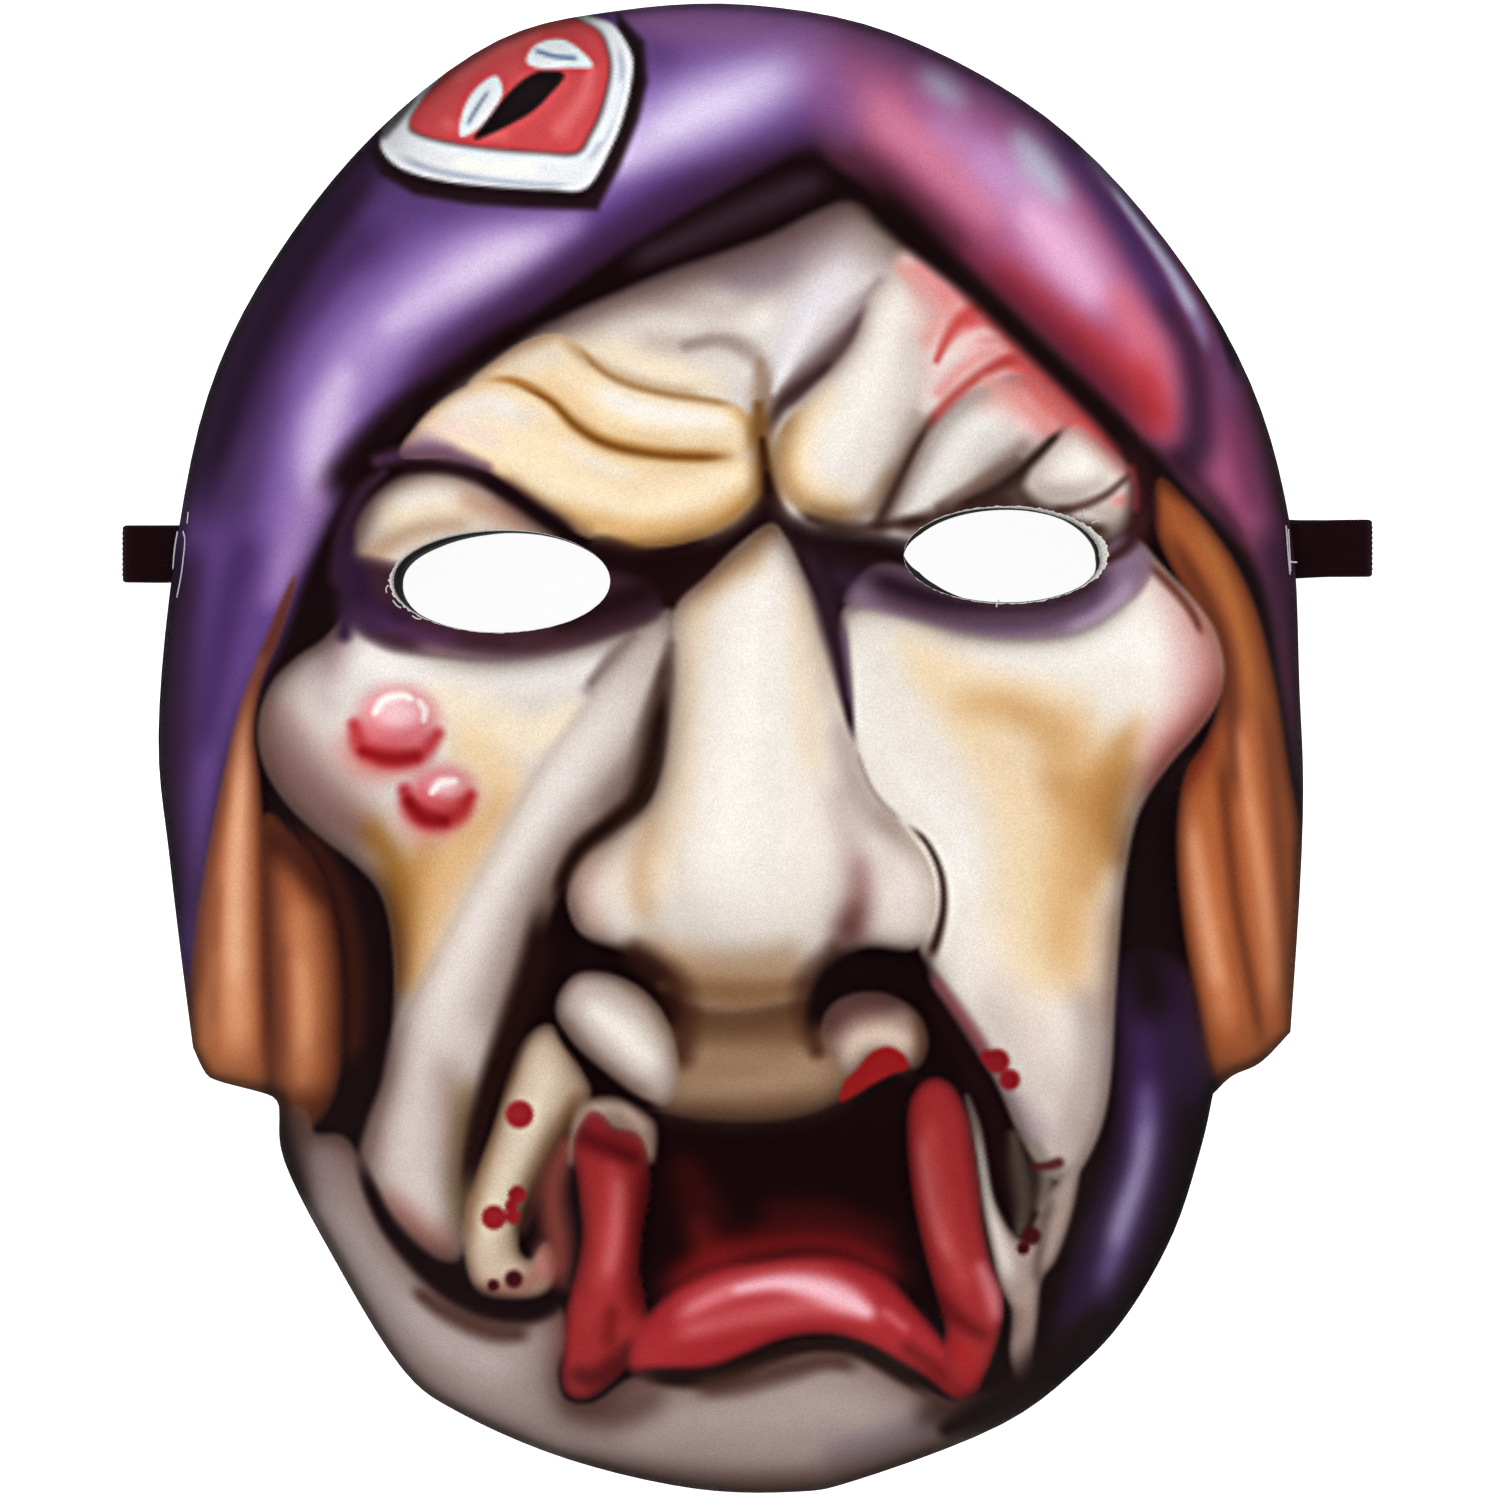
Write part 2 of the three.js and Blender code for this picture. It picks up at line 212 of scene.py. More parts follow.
# Elastic strap: the CAD model's route, but with its right end 1 mm further up the face
STRAP_ROUTE = [
    (-88.3, 34, 13.3), (-90.6, 34, 9.9), (-93, 34, 6.3), (-94.2, 34, 5.2), (-95.8, 34, 4.5),
    (-98.4, 34, 4.2), (-101.5, 34, 4.1), (-104.5, 34, 4.1), (-105.8, 34, 3.6), (-106.3, 34, 2.3),
    (-105.8, 34, 1.1), (-104.5, 34, 0.6), (-98, 34, 0.6), (-88, 34.6, 0.6), (-76, 37.2, 0.6),
    (-64, 41.2, 0.6), (-52, 45, 0.6), (-38, 48, 0.6), (-20, 50.2, 0.6), (0, 51.8, 0.6),
    (20, 52.6, 0.6), (38, 51.9, 0.6), (52, 49.8, 0.6), (64, 45.8, 0.6), (74, 40.6, 0.6),
    (84, 36.8, 0.6), (96, 35.2, 0.6), (103, 35, 0.6), (110.1, 35, 0.6), (111.4, 35, 1.1),
    (111.9, 35, 2.3), (111.4, 35, 3.6), (110.1, 35, 4.1), (104, 34.9, 4.1), (98, 34.6, 4.1),
    (95.4, 34.4, 4.4), (93.8, 34.3, 5.3), (92.2, 34.2, 7.6), (90.3, 34.1, 10.2), (88.3, 34, 12.9),
]
STRAP_WIDTH = 10
STRAP_THICKNESS = 1
STRAP_TOP = 4.6
STRAP_RIBS = 11
STRAP_RIB_DEPTH = 0.06
STRAP_EDGE_POWER = 12
STRAP_STEPS = 6

# Loose ends and stitches of thread in the picture
THREAD_RADIUS = 0.14
THREADS = [
    [(-96.2, 38), (-95.9, 36.4), (-96.2, 33), (-96.6, 30), (-97.3, 26.4)],
    [(-97.2, 38), (-97.7, 35), (-98, 31.4)],
    [(-95.3, 41.4), (-95.5, 39.4)],
    [(97.3, 39), (97.5, 36.4), (97.7, 33.6), (98, 30.4)],
    [(97.7, 38.4), (97.9, 35), (98.1, 31)],
    [(97.9, 32.8), (98.7, 32.6), (99.5, 32.7)],
    [(47, 26), (46.6, 25.4), (46.5, 24.7)],
    [(61.6, 40.6), (61.7, 41.4), (61.9, 41.9)],
    [(63.2, 39.4), (63.9, 39.8), (64.5, 39.7)],
    [(-59.4, 25.9), (-58.7, 25), (-58, 24.6)],
    [(-60.2, 28.6), (-60.6, 28), (-60.5, 27.2)],
    [(-56, 23.2), (-55.2, 22.7), (-54.4, 22.7)],
]

# Camera: straight above the mask, where the picture's size was taken from
CAMERA_PLACE = (3.25, -0.35, SIGHT_DISTANCE)
FRAME_WIDTH = 263.25
SENSOR_WIDTH = 36

# Textures: weave, grain and mottling of the print, fibres at its cut edge, cells and patches of the foam,
# crosswise threads and fuzz of the elastic, and the sewing thread's twist
WEAVE_PITCH = 0.62
GRAIN_SIZE = 0.42
MOTTLE_SIZE = 3.5
FIBRE_SIZE = 0.35
FOAM_CELL = 0.55
FOAM_PATCH = 14
PICK_PITCH = 0.55
FUZZ_SIZE = 0.5
TWIST_PITCH = 0.3

# Studio: the table and its glow, the sky's strength, and each lamp's place, size and watts
TABLE_HALF_SIZE = 2500
TABLE_GLOW = 0.92
TABLE_SPECKLE = 30
SKY = 0.84
LAMPS = {
    "upper left softbox": ((-700, 700, 1300), 700, 4.5),
    "right fill": ((900, 200, 1100), 900, 1.5),
}
LAMPS_AIM = (0, 0, 30)


# Curves and fields


def unit(vectors):
    """Vectors made one long"""
    return vectors / np.linalg.norm(vectors, axis=-1, keepdims=True)


def lengths_along(path):
    """How far along a path each of its points lies"""
    steps = np.hypot.reduce(np.diff(path, axis=0), axis=1)
    return np.concatenate([[0], np.cumsum(steps)])


def smooth_step(low, high, value):
    """0 below the low value and 1 above the high one, with a smooth rise between"""
    t = np.clip((value - low) / (high - low), 0.0, 1.0)
    return t * t * (3 - 2 * t)


def rounded(points, closed=False, steps=5):
    """A smooth curve through given points, each a row of numbers such as x, y and width"""
    p = np.asarray(points, float)
    if len(p) == 1:
        return p
    if closed:
        p = np.vstack([p[-1], p, p[0], p[1]])
    else:
        p = np.vstack([2 * p[0] - p[1], p, 2 * p[-1] - p[-2]])
    out = []
    for a, b, c, d in zip(p[:-3], p[1:-2], p[2:-1], p[3:]):
        for t in np.arange(steps) / steps:
            bend = (2 * a - 5 * b + 4 * c - d) * t**2 + (3 * b - a - 3 * c + d) * t**3
            out.append(0.5 * (2 * b + (c - a) * t + bend))
    if not closed:
        out.append(p[-2])
    return np.array(out)


def line_distance(curve, x, y):
    """Distance to a curve, and the curve's other numbers and the share of its length at that place"""
    best = np.full(x.shape, 1e9)
    width = np.zeros(x.shape) + curve[0, 2]
    share = np.zeros(x.shape)
    lengths = np.hypot(*(curve[1:, :2] - curve[:-1, :2]).T)
    total = max(lengths.sum(), 1e-9)
    done = 0.0
    for a, b, length in zip(curve[:-1], curve[1:], lengths):
        dx, dy = b[0] - a[0], b[1] - a[1]
        t = np.clip(((x - a[0]) * dx + (y - a[1]) * dy) / max(length**2, 1e-12), 0, 1)
        d = np.hypot(x - a[0] - t * dx, y - a[1] - t * dy)
        m = d < best
        best[m] = d[m]
        width[m] = a[2] + (b[2] - a[2]) * t[m]
        share[m] = (done + t[m] * length) / total
        done += length
    return best, width, share


def inside_distance(curve, x, y):
    """Distance to a closed curve, above 0 inside"""
    best = np.full(x.shape, 1e9)
    inside = np.zeros(x.shape, bool)
    for a, b in zip(curve, np.roll(curve, -1, axis=0)):
        dx, dy = b[0] - a[0], b[1] - a[1]
        length2 = max(dx * dx + dy * dy, 1e-12)
        t = np.clip(((x - a[0]) * dx + (y - a[1]) * dy) / length2, 0, 1)
        best = np.minimum(best, (x - a[0] - t * dx) ** 2 + (y - a[1] - t * dy) ** 2)
        if dy:
            crosses = (a[1] > y) != (b[1] > y)
            inside ^= crosses & (x < dx * (y - a[1]) / dy + a[0])
    best = np.sqrt(best)
    return np.where(inside, best, -best)


def blurred(field, reach):
    """A field over the grid, blurred with this reach in grid steps"""
    steps = int(np.ceil(3 * reach))
    kernel = np.exp(-0.5 * (np.arange(-steps, steps + 1) / reach) ** 2)
    kernel /= kernel.sum()
    for axis in (0, 1):
        margins = [(steps, steps) if a == axis else (0, 0) for a in range(field.ndim)]
        padded = np.pad(field, margins, mode="edge")
        count = np.arange(field.shape[axis])
        field = sum(share * np.take(padded, count + k, axis=axis) for k, share in enumerate(kernel))
    return field


# Drawing tools


def rgb(code):
    """A colour's red, green and blue shares, from its hex number"""
    return np.array([code >> 16, code >> 8 & 255, code & 255]) / 255


class Print:
    """An airbrush drawing on a fine grid of places, in mm"""

    def __init__(self, half_size, pitch, ground):
        half_width, half_height = half_size
        self.pitch = pitch
        self.across = np.arange(-half_width, half_width + pitch, pitch)
        self.up = np.arange(-half_height, half_height + pitch, pitch)
        self.colour = np.tile(rgb(ground), (len(self.up), len(self.across), 1))
        self.mask = None

    def window(self, low, high):
        """The part of the grid between two corners"""
        i0, i1 = np.searchsorted(self.up, (low[1], high[1]))
        j0, j1 = np.searchsorted(self.across, (low[0], high[0]))
        place = (slice(max(i0, 0), i1), slice(max(j0, 0), j1))
        x, y = np.meshgrid(self.across[place[1]], self.up[place[0]])
        return place, x, y

    def depths(self, curve, reach):
        """Distances inside a closed curve, over the part of the grid up to this reach outside it"""
        place, x, y = self.window(curve.min(0) - reach, curve.max(0) + reach)
        return place, inside_distance(curve, x.ravel(), y.ravel()).reshape(x.shape)

    def lay(self, place, cover, colour):
        """Lays paint on part of the grid, as thick as its cover and only where the mask lets it"""
        if self.mask is not None:
            cover = cover * self.mask[place]
        part = self.colour[place]
        part += (rgb(colour) - part) * cover[..., None]

    def spray(self, colour, strength, points, hard=0.0):
        """A stroke through points that carry its half width. One point gives a round cloud"""
        curve = rounded(points)
        reach = curve[:, 2].max()
        place, x, y = self.window(curve[:, :2].min(0) - reach, curve[:, :2].max(0) + reach)
        if len(curve) == 1:
            cover = 1 - smooth_step(hard, 1, np.hypot(x - curve[0, 0], y - curve[0, 1]) / reach)
        else:
            d, width, share = line_distance(curve, x.ravel(), y.ravel())
            cover = 1 - smooth_step(hard, 1, d / np.maximum(width, 1e-6))
            length = np.hypot(*np.diff(curve[:, :2], axis=0).T).sum()
            if length > LONG_STROKE * reach:
                cover *= smooth_step(0, STROKE_FADE, share) * smooth_step(0, STROKE_FADE, 1 - share)
            cover = cover.reshape(x.shape)
        self.lay(place, strength * cover, colour)

    def glow(self, colour, strength, middle, radii, turn=0.0, hard=0.0):
        """An oval cloud"""
        a = np.radians(turn)
        reach = max(radii)
        place, x, y = self.window(np.array(middle) - reach, np.array(middle) + reach)
        dx = x - middle[0]
        dy = y - middle[1]
        u = (dx * np.cos(a) + dy * np.sin(a)) / radii[0]
        v = (dy * np.cos(a) - dx * np.sin(a)) / radii[1]
        self.lay(place, strength * (1 - smooth_step(hard, 1, np.hypot(u, v))), colour)

    def area(self, colour, strength, outline, edge=1.0, corners=False):
        """Fills an outline, with a soft edge of this half width. Returns the cover over the grid"""
        curve = np.asarray(outline, float) if corners else rounded(outline, closed=True)
        place, depth = self.depths(curve, edge)
        cover = smooth_step(-edge, edge, depth)
        full = np.zeros(self.colour.shape[:2])
        full[place] = cover
        if colour is not None:
            self.lay(place, strength * cover, colour)
        return full

    def form(self, outline, ground, strokes=(), edge=1.2, soft=1.0, rim=None):
        """A rounded form: its ground, its own strokes kept inside it, and a shade along its outline"""
        cover = self.area(ground, 1.0, outline, edge)
        before = self.mask
        self.mask = cover if before is None else cover * before
        for colour, strength, points in strokes:
            self.spray(colour, strength, points)
        if rim is not None:
            dark, reach, strength = rim
            place, depth = self.depths(rounded(outline, closed=True), edge)
            self.lay(place, strength * np.exp(-np.maximum(depth, 0) / reach), dark)
        self.mask = before
        if soft:
            self.soften(soft, cover)
        return cover

    def soften(self, reach, cover):
        """Blurs the covered part of the drawing"""
        rows = np.flatnonzero(cover.any(1))
        cols = np.flatnonzero(cover.any(0))
        pad = int(3 * reach / self.pitch)
        tall = slice(max(rows[0] - pad, 0), rows[-1] + pad)
        wide = slice(max(cols[0] - pad, 0), cols[-1] + pad)
        place = (tall, wide)
        part = self.colour[place]
        part += (blurred(part, reach / self.pitch) - part) * cover[place][..., None]

    def crisp(self, strength, reach):
        """Strengthens every edge, as a printer does"""
        self.colour += strength * (self.colour - blurred(self.colour, reach / self.pitch))
        np.clip(self.colour, 0, 1, out=self.colour)

    def paint_edge_shade(self, stretches):
        """Paints shade on the print towards the cut edge, where the shell's sides turn down, and a dark
        line in the last millimetre
        """
        outline = np.vstack([rounded(stretch, steps=3)[:-1] for stretch in stretches])
        x, y = np.meshgrid(self.across, self.up)
        depth = np.maximum(inside_distance(outline, x.ravel(), y.ravel()).reshape(x.shape), 0)
        dark = EDGE_SHADE * np.exp(-depth / EDGE_SHADE_REACH) + EDGE_LINE * np.exp(-(depth**2))
        self.colour *= 1 - dark[..., None]

    def sample_field(self, field, x, y):
        """Values of a field over the grid at any places, between the grid's own"""
        u = np.clip((x - self.across[0]) / self.pitch, 0, len(self.across) - 1.001)
        v = np.clip((y - self.up[0]) / self.pitch, 0, len(self.up) - 1.001)
        i = v.astype(int)
        j = u.astype(int)
        s = u - j
        t = v - i
        if field.ndim == 3:
            s = s[:, None]
            t = t[:, None]
        low = field[i, j] * (1 - s) + field[i, j + 1] * s
        high = field[i + 1, j] * (1 - s) + field[i + 1, j + 1] * s
        return low * (1 - t) + high * t

    def sample(self, x, y):
        return self.sample_field(self.colour, x, y)


# Colours that recur in the drawing
INK = 0x160709
SOOT = 0x2C1614
UMBER = 0x462C24
BROWN = 0x6C4E3E
GREY = 0xBAAAA6
PEARL = 0xDCD3CE
BONE = 0xF0E7DD
WHITE = 0xF8F3EE
CREAM = 0xF7E3C2
OCHRE = 0xC89252
BLUSH = 0xEABEBA
CRIMSON = 0xA41E24
PLUM = 0x36182E


# The drawing, feature by feature. A stroke is a colour, its strength, and points of x, y and half width.
# A form is an outline, its ground colour, strokes kept inside it, its softness, and its rim's shade


def paint_hood_left(p):
    """The left half of the hood: folds, crown, rim and its fall beside the temple"""
    p.form(
        [(30, 140), (-60, 140), (-112, 60), (-114, -20), (-97, -47), (-93.6, -32), (-90.6, -12), (-88, 0),
         (-84, 10), (-79, 20), (-75, 31), (-70, 42), (-65, 52), (-58, 60), (-49, 67), (-40, 74), (-30, 81),
         (-20, 88), (-10, 94), (0, 99.6), (8, 104), (15, 107), (30, 111)],
        0x603E82, edge=2.2, soft=1.3,
        strokes=[
            (0x402454, 0.95, [(-58, 96, 9), (-70, 84, 10), (-80, 67, 9), (-86, 50, 8), (-90, 34, 7)]),
            (0x4C3264, 0.9, [(-60, 99, 11), (-46, 98, 10), (-30, 96, 8)]),
            (0x8664A8, 0.95, [(-22, 93, 7), (-32, 90, 9), (-43, 86, 12), (-55, 79, 13), (-66, 68, 13),
                (-72, 56, 12), (-76, 44, 9), (-82, 30, 6)]),
            (0xAC8EC6, 0.9, [(-28, 92, 4), (-37, 88, 8), (-46, 84, 11), (-56, 77, 10), (-66, 67, 9),
                (-71, 58, 7)]),
            (0xD0BADE, 0.9, [(-34, 89, 4), (-40, 86.6, 7), (-46, 83.4, 7.4), (-53, 79, 5.6), (-60, 74, 3)]),
            (0xDECEE8, 0.7, [(-38, 87.4, 3), (-43, 85, 3.6), (-48, 82, 3)]),
            (0x9672B2, 0.9, [(-68, 64, 7), (-71, 56, 9), (-73, 47, 9), (-76, 38, 7), (-80, 28, 4)]),
            (0xCEB8DC, 0.95, [(-68, 65, 4), (-71, 58, 6), (-73, 51, 5.6), (-74, 45, 3)]),
            (0xAA84BA, 0.7, [(-72, 46, 4), (-76, 37, 4.4), (-81, 26, 3)]),
            (0x765296, 0.7, [(-62, 84, 4), (-72, 72, 4), (-78, 60, 4)]),
            # shade beside the face
            (PLUM, 0.9, [(-69, 38, 3), (-63, 51, 5), (-54, 61, 7), (-42, 72, 7), (-30, 80, 7), (-18, 88, 8),
                (-4, 97, 8), (8, 103, 8), (20, 107, 9)]),
            (0x3A1C42, 0.7, [(-60, 61, 5), (-48, 71, 6), (-36, 79, 6), (-24, 87, 6), (-10, 96, 6),
                (4, 103, 6)]),
            # crown
            (0x88588C, 0.9, [(-16, 128, 7), (0, 127, 9), (14, 126, 8), (26, 123, 8)]),
            (0x9678B8, 0.95, [(-24, 101, 8), (-16, 108, 11), (-4, 113, 13), (8, 117, 11), (18, 120, 7)]),
            (0xCEBEE0, 0.95, [(-19, 103, 5), (-12, 108, 8), (-5, 112, 9.4), (4, 116, 8), (10, 118.4, 5)]),
            (0xDED2EC, 0.6, [(-12, 108.6, 3.4), (-6, 111.4, 4.4), (0, 113.6, 3.4)]),
            (0x5A3870, 0.9, [(-18, 123, 6), (-12, 121.6, 4)]),
            (0x5A3270, 0.85, [(12, 109, 5), (17, 112, 6), (20, 117, 5)]),
            # rim
            (0x3C1C32, 0.97, [(-22, 133, 6), (-44, 124, 8), (-64, 108, 9), (-82, 87, 9), (-94, 62, 9),
                (-100, 36, 8)]),
            (0x281032, 0.94, [(-50, 117, 5), (-64, 103, 6), (-74, 90, 6), (-82, 76, 6), (-88, 62, 6),
                (-92, 48, 5), (-95, 36, 4)]),
            (0x1A061A, 0.8, [(-60, 102, 2), (-67, 95, 3), (-74, 86, 3.4), (-80, 76, 3.6), (-85, 66, 3.4),
                (-89, 54, 3), (-92, 44, 2)]),
            (0x5C3460, 0.6, [(-72, 100, 1.6), (-82, 86, 1.8), (-90, 68, 1.6)]),
            # fall beside the temple
            (0x281026, 0.97, [(-98, 38, 7), (-101, 20, 9), (-101, 2, 9), (-99, -18, 7), (-97, -36, 5)]),
            (0x321636, 0.85, [(-94, 38, 4), (-96, 20, 4), (-97, 4, 4), (-97, -10, 3)]),
            (0x3A1C50, 0.85, [(-84, 40, 5), (-88, 26, 5), (-91, 10, 4.4), (-93, -4, 3)]),
            (0x5C3C76, 0.55, [(-80, 34, 2), (-84, 22, 2), (-88, 8, 1.8), (-90.6, -4, 1.2)]),
            (0x2E142E, 0.85, [(-77, 26, 1.6), (-82, 13, 2), (-86.6, 0, 2.2), (-90, -14, 2.4),
                (-93.4, -32, 2.4)]),
        ],
    )


def paint_hood_right(p):
    """The right half of the hood, redder, with pale spots and dark outer folds"""
    p.form(
        [(24, 142), (64, 134), (108, 70), (112, 20), (104, -14), (98, 8), (96, 22), (93, 32), (87, 40),
         (81, 46), (77, 51), (71, 56), (63, 63), (55, 70), (47, 77), (39, 85), (31, 93), (24, 100),
         (18, 104), (15, 111), (17, 124)],
        0xAA547C, edge=2.6, soft=1.4,
        strokes=[
            (0x643A68, 0.95, [(12, 130, 11), (28, 125, 11), (44, 118, 11), (60, 107, 10)]),
            (0x744076, 0.9, [(13, 122, 8), (17, 115, 8), (19, 108, 6)]),
            (0xCE7A96, 0.9, [(25, 112, 6), (32, 106, 8), (39, 99, 8), (44, 94, 6)]),
            (0x9C5C8E, 0.8, [(34, 114, 6), (42, 110, 7), (49, 105, 6)]),
            (0xC692C2, 0.95, [(46, 102, 7), (53, 95, 10), (59, 87, 10), (64, 80, 8)]),
            (0xECB2D4, 0.85, [(53, 93, 5), (58, 87, 7), (63, 80.6, 5)]),
            (0xD66E82, 0.9, [(68, 79, 4.6), (71.4, 73, 6), (74.4, 65, 6), (75.6, 58, 4)]),
            (0xC23640, 0.92, [(60, 73, 4), (66, 68, 5.6), (71.6, 63, 7), (75, 57, 4.6)]),
            (0xBA8CC2, 0.6, [(37, 109, 5), (42.4, 105, 6), (48, 100, 5)]),
            # shade beside the face
            (0x9C4664, 0.7, [(26, 104, 4), (35, 96, 5), (44, 88, 5)]),
            (0xA42C38, 0.85, [(48, 83, 5), (56, 76, 6), (65, 68, 6), (73, 58, 5)]),
            (0x5C1A2C, 0.9, [(19, 104, 4), (29, 96, 5), (40, 86, 6), (52, 75, 6), (63, 65, 6),
                (74, 53, 6)]),
            (0x3C1A28, 0.85, [(12, 108, 5), (20, 104, 6), (29, 97, 6), (38, 89, 5)]),
            (INK, 0.95, [(16, 102, 6), (26, 94, 6), (35, 86, 4.4), (44, 78, 4), (53, 69.6, 4), (62, 61, 4),
                (72, 50, 5)]),
            (CRIMSON, 0.5, [(73, 66, 3), (75.4, 58, 3)]),
            # pale spots
            (0xC6CCD6, 0.9, [(5.6, 124.4, 2.6), (10, 123.6, 4.4), (14.4, 122.4, 2.8)]),
            (0xA8AEC4, 0.9, [(34.4, 118, 2.6), (37.4, 115.8, 4), (40, 113.6, 2.4)]),
            (0xBAC2D6, 0.98, [(50.4, 107.4, 2.4), (53.4, 103, 5), (56.4, 99, 4), (58.4, 96.4, 2)]),
            # outer folds
            (0x462242, 0.97, [(68, 107, 9), (82, 90, 9), (91, 70, 9), (97, 48, 9), (101, 26, 8)]),
            (0x382258, 0.97, [(54, 110, 2), (59, 104.6, 3), (63, 99.4, 3.6), (69.4, 90.6, 5),
                (75, 80.8, 4.8), (79.4, 72, 4)]),
            (0x280E28, 0.97, [(76, 78, 2.4), (80.6, 70, 4.4), (82, 60, 5), (81.4, 52, 6), (77, 49, 5)]),
            (0x5C3E7C, 0.75, [(84.8, 72, 2), (86.6, 66, 2.1), (87.4, 59, 1.8)]),
            (0x68244C, 0.8, [(87.4, 63, 2), (88.8, 56, 2.8), (90, 48, 2.8), (91.6, 40, 2)]),
            (0x2A0E1A, 0.95, [(62, 107.6, 1.4), (74, 97, 2.2), (84, 83, 2.8), (91, 67, 3.2),
                (95.6, 50, 3.6), (99, 34, 4)]),
            (0x32182E, 0.95, [(92.6, 41, 3.4), (96, 32, 4.4), (98.6, 20, 5), (100, 6, 5), (101, -8, 4)]),
            (0x422C52, 0.7, [(91.6, 35, 1.6), (94.4, 27, 1.8), (96.4, 16, 1.6)]),
            (0x220A16, 0.9, [(76.4, 54, 2.6), (80.4, 48.6, 2.6), (85.6, 42.6, 2.2), (90.4, 35.6, 1.6)]),
        ],
    )
    # pale fold along the rim
    p.spray(0x9684B8, 0.8, [(60, 107, 1), (66, 100, 2), (71.4, 92.6, 2.3), (76, 86, 2.4), (79.6, 79.8, 2.7),
        (82.2, 74, 2.2), (84, 67.6, 1.4)])
    p.spray(0xCECAE2, 0.7, [(66, 99.6, 1), (71.4, 92, 1.2), (76.6, 84.6, 1.5), (80, 78.4, 1.8),
        (82, 74.4, 1.2)])
    p.spray(0x1E0A20, 0.85, [(66.8, 103.4, 0.9), (73.4, 95, 1.1), (79.2, 87, 1.3), (84, 78.6, 1.4),
        (87, 71, 1.5), (89.4, 63, 1.3)])
    p.spray(0xB09AB8, 0.7, [(84.8, 81, 0.7), (87.6, 75.4, 0.8), (89.8, 70, 0.6)])


def paint_left_lock(p):
    """The outer lock at the left, ending in the cut edge"""
    p.form(
        [(-76.6, 30), (-80, 23), (-83.6, 14), (-87, 4), (-90, -10), (-93, -26), (-95, -42), (-98, -62),
         (-86, -68), (-81, -60), (-81.4, -44), (-82, -22), (-83, -6), (-84, 3), (-82.6, 12), (-79.4, 20)],
        0xBA6A3E, edge=0.7, soft=0.7, rim=(0x4A1E16, 1.3, 0.85),
        strokes=[
            (0xE09C72, 0.95, [(-83.4, 12, 1.4), (-85.6, 2, 3), (-86.6, -12, 4.4), (-87, -28, 5),
                (-86.8, -44, 5), (-86.6, -58, 4)]),
            (0xF0B892, 0.8, [(-85.4, 0, 1.4), (-86.6, -14, 2.2), (-87, -30, 2.6), (-87, -44, 2.4)]),
            (0x9E542E, 0.85, [(-88.6, -2, 1.6), (-90.4, -14, 2.4), (-92.4, -30, 2.8), (-94, -46, 3)]),
            (0x783A1E, 0.6, [(-89.6, -22, 0.9), (-90.6, -36, 1), (-91, -50, 1)]),
            (0xD68E62, 0.5, [(-90.6, -34, 1), (-92, -46, 1.2), (-92.4, -54, 1)]),
            (0x6E321A, 0.85, [(-82.4, -12, 1.1), (-82.2, -30, 1.3), (-81.8, -48, 1.5), (-81, -60, 2)]),
            (0x783A1C, 0.8, [(-96, -54, 3), (-91, -59.6, 2.6), (-84, -62, 2.6)]),
            (0x542216, 0.85, [(-76, 31, 2), (-79.6, 23, 2.2), (-82.8, 15, 1.8)]),
        ],
    )


def paint_jaw_lock(p):
    """The shorter lock between the left cheek and the outer lock"""
    p.form(
        [(-81.6, -12), (-78, -15), (-73.4, -21), (-70.4, -29), (-69, -39), (-68.8, -50), (-70, -60),
         (-76, -68), (-81, -64), (-80.6, -50), (-81, -34), (-81.4, -20)],
        0xB4663C, edge=1.1, soft=0.8, rim=(0x3C160E, 2.2, 0.92),
        strokes=[
            (0xCE8458, 0.9, [(-75.8, -30, 4), (-75.2, -40, 5.6), (-75, -50, 5.4), (-75.4, -58, 3)]),
            (0xE2A074, 0.7, [(-75.6, -38, 2.2), (-75, -46, 2.6), (-75.2, -52, 2)]),
            (0x40180E, 0.92, [(-80.6, -16, 5), (-76, -19.6, 5.4), (-71.6, -25, 4.4)]),
            (0x783A1E, 0.6, [(-78.6, -32, 1.2), (-78.4, -44, 1.2), (-78.4, -56, 1.2)]),
            (0x6E321A, 0.85, [(-72.6, -63, 5), (-78, -63.6, 5)]),
        ],
    )
    p.spray(0x401A10, 0.7, [(-78, -12, 2.6), (-71.4, -20, 3.6), (-67, -32, 3.8), (-66, -46, 3.8),
        (-67, -58, 3)])


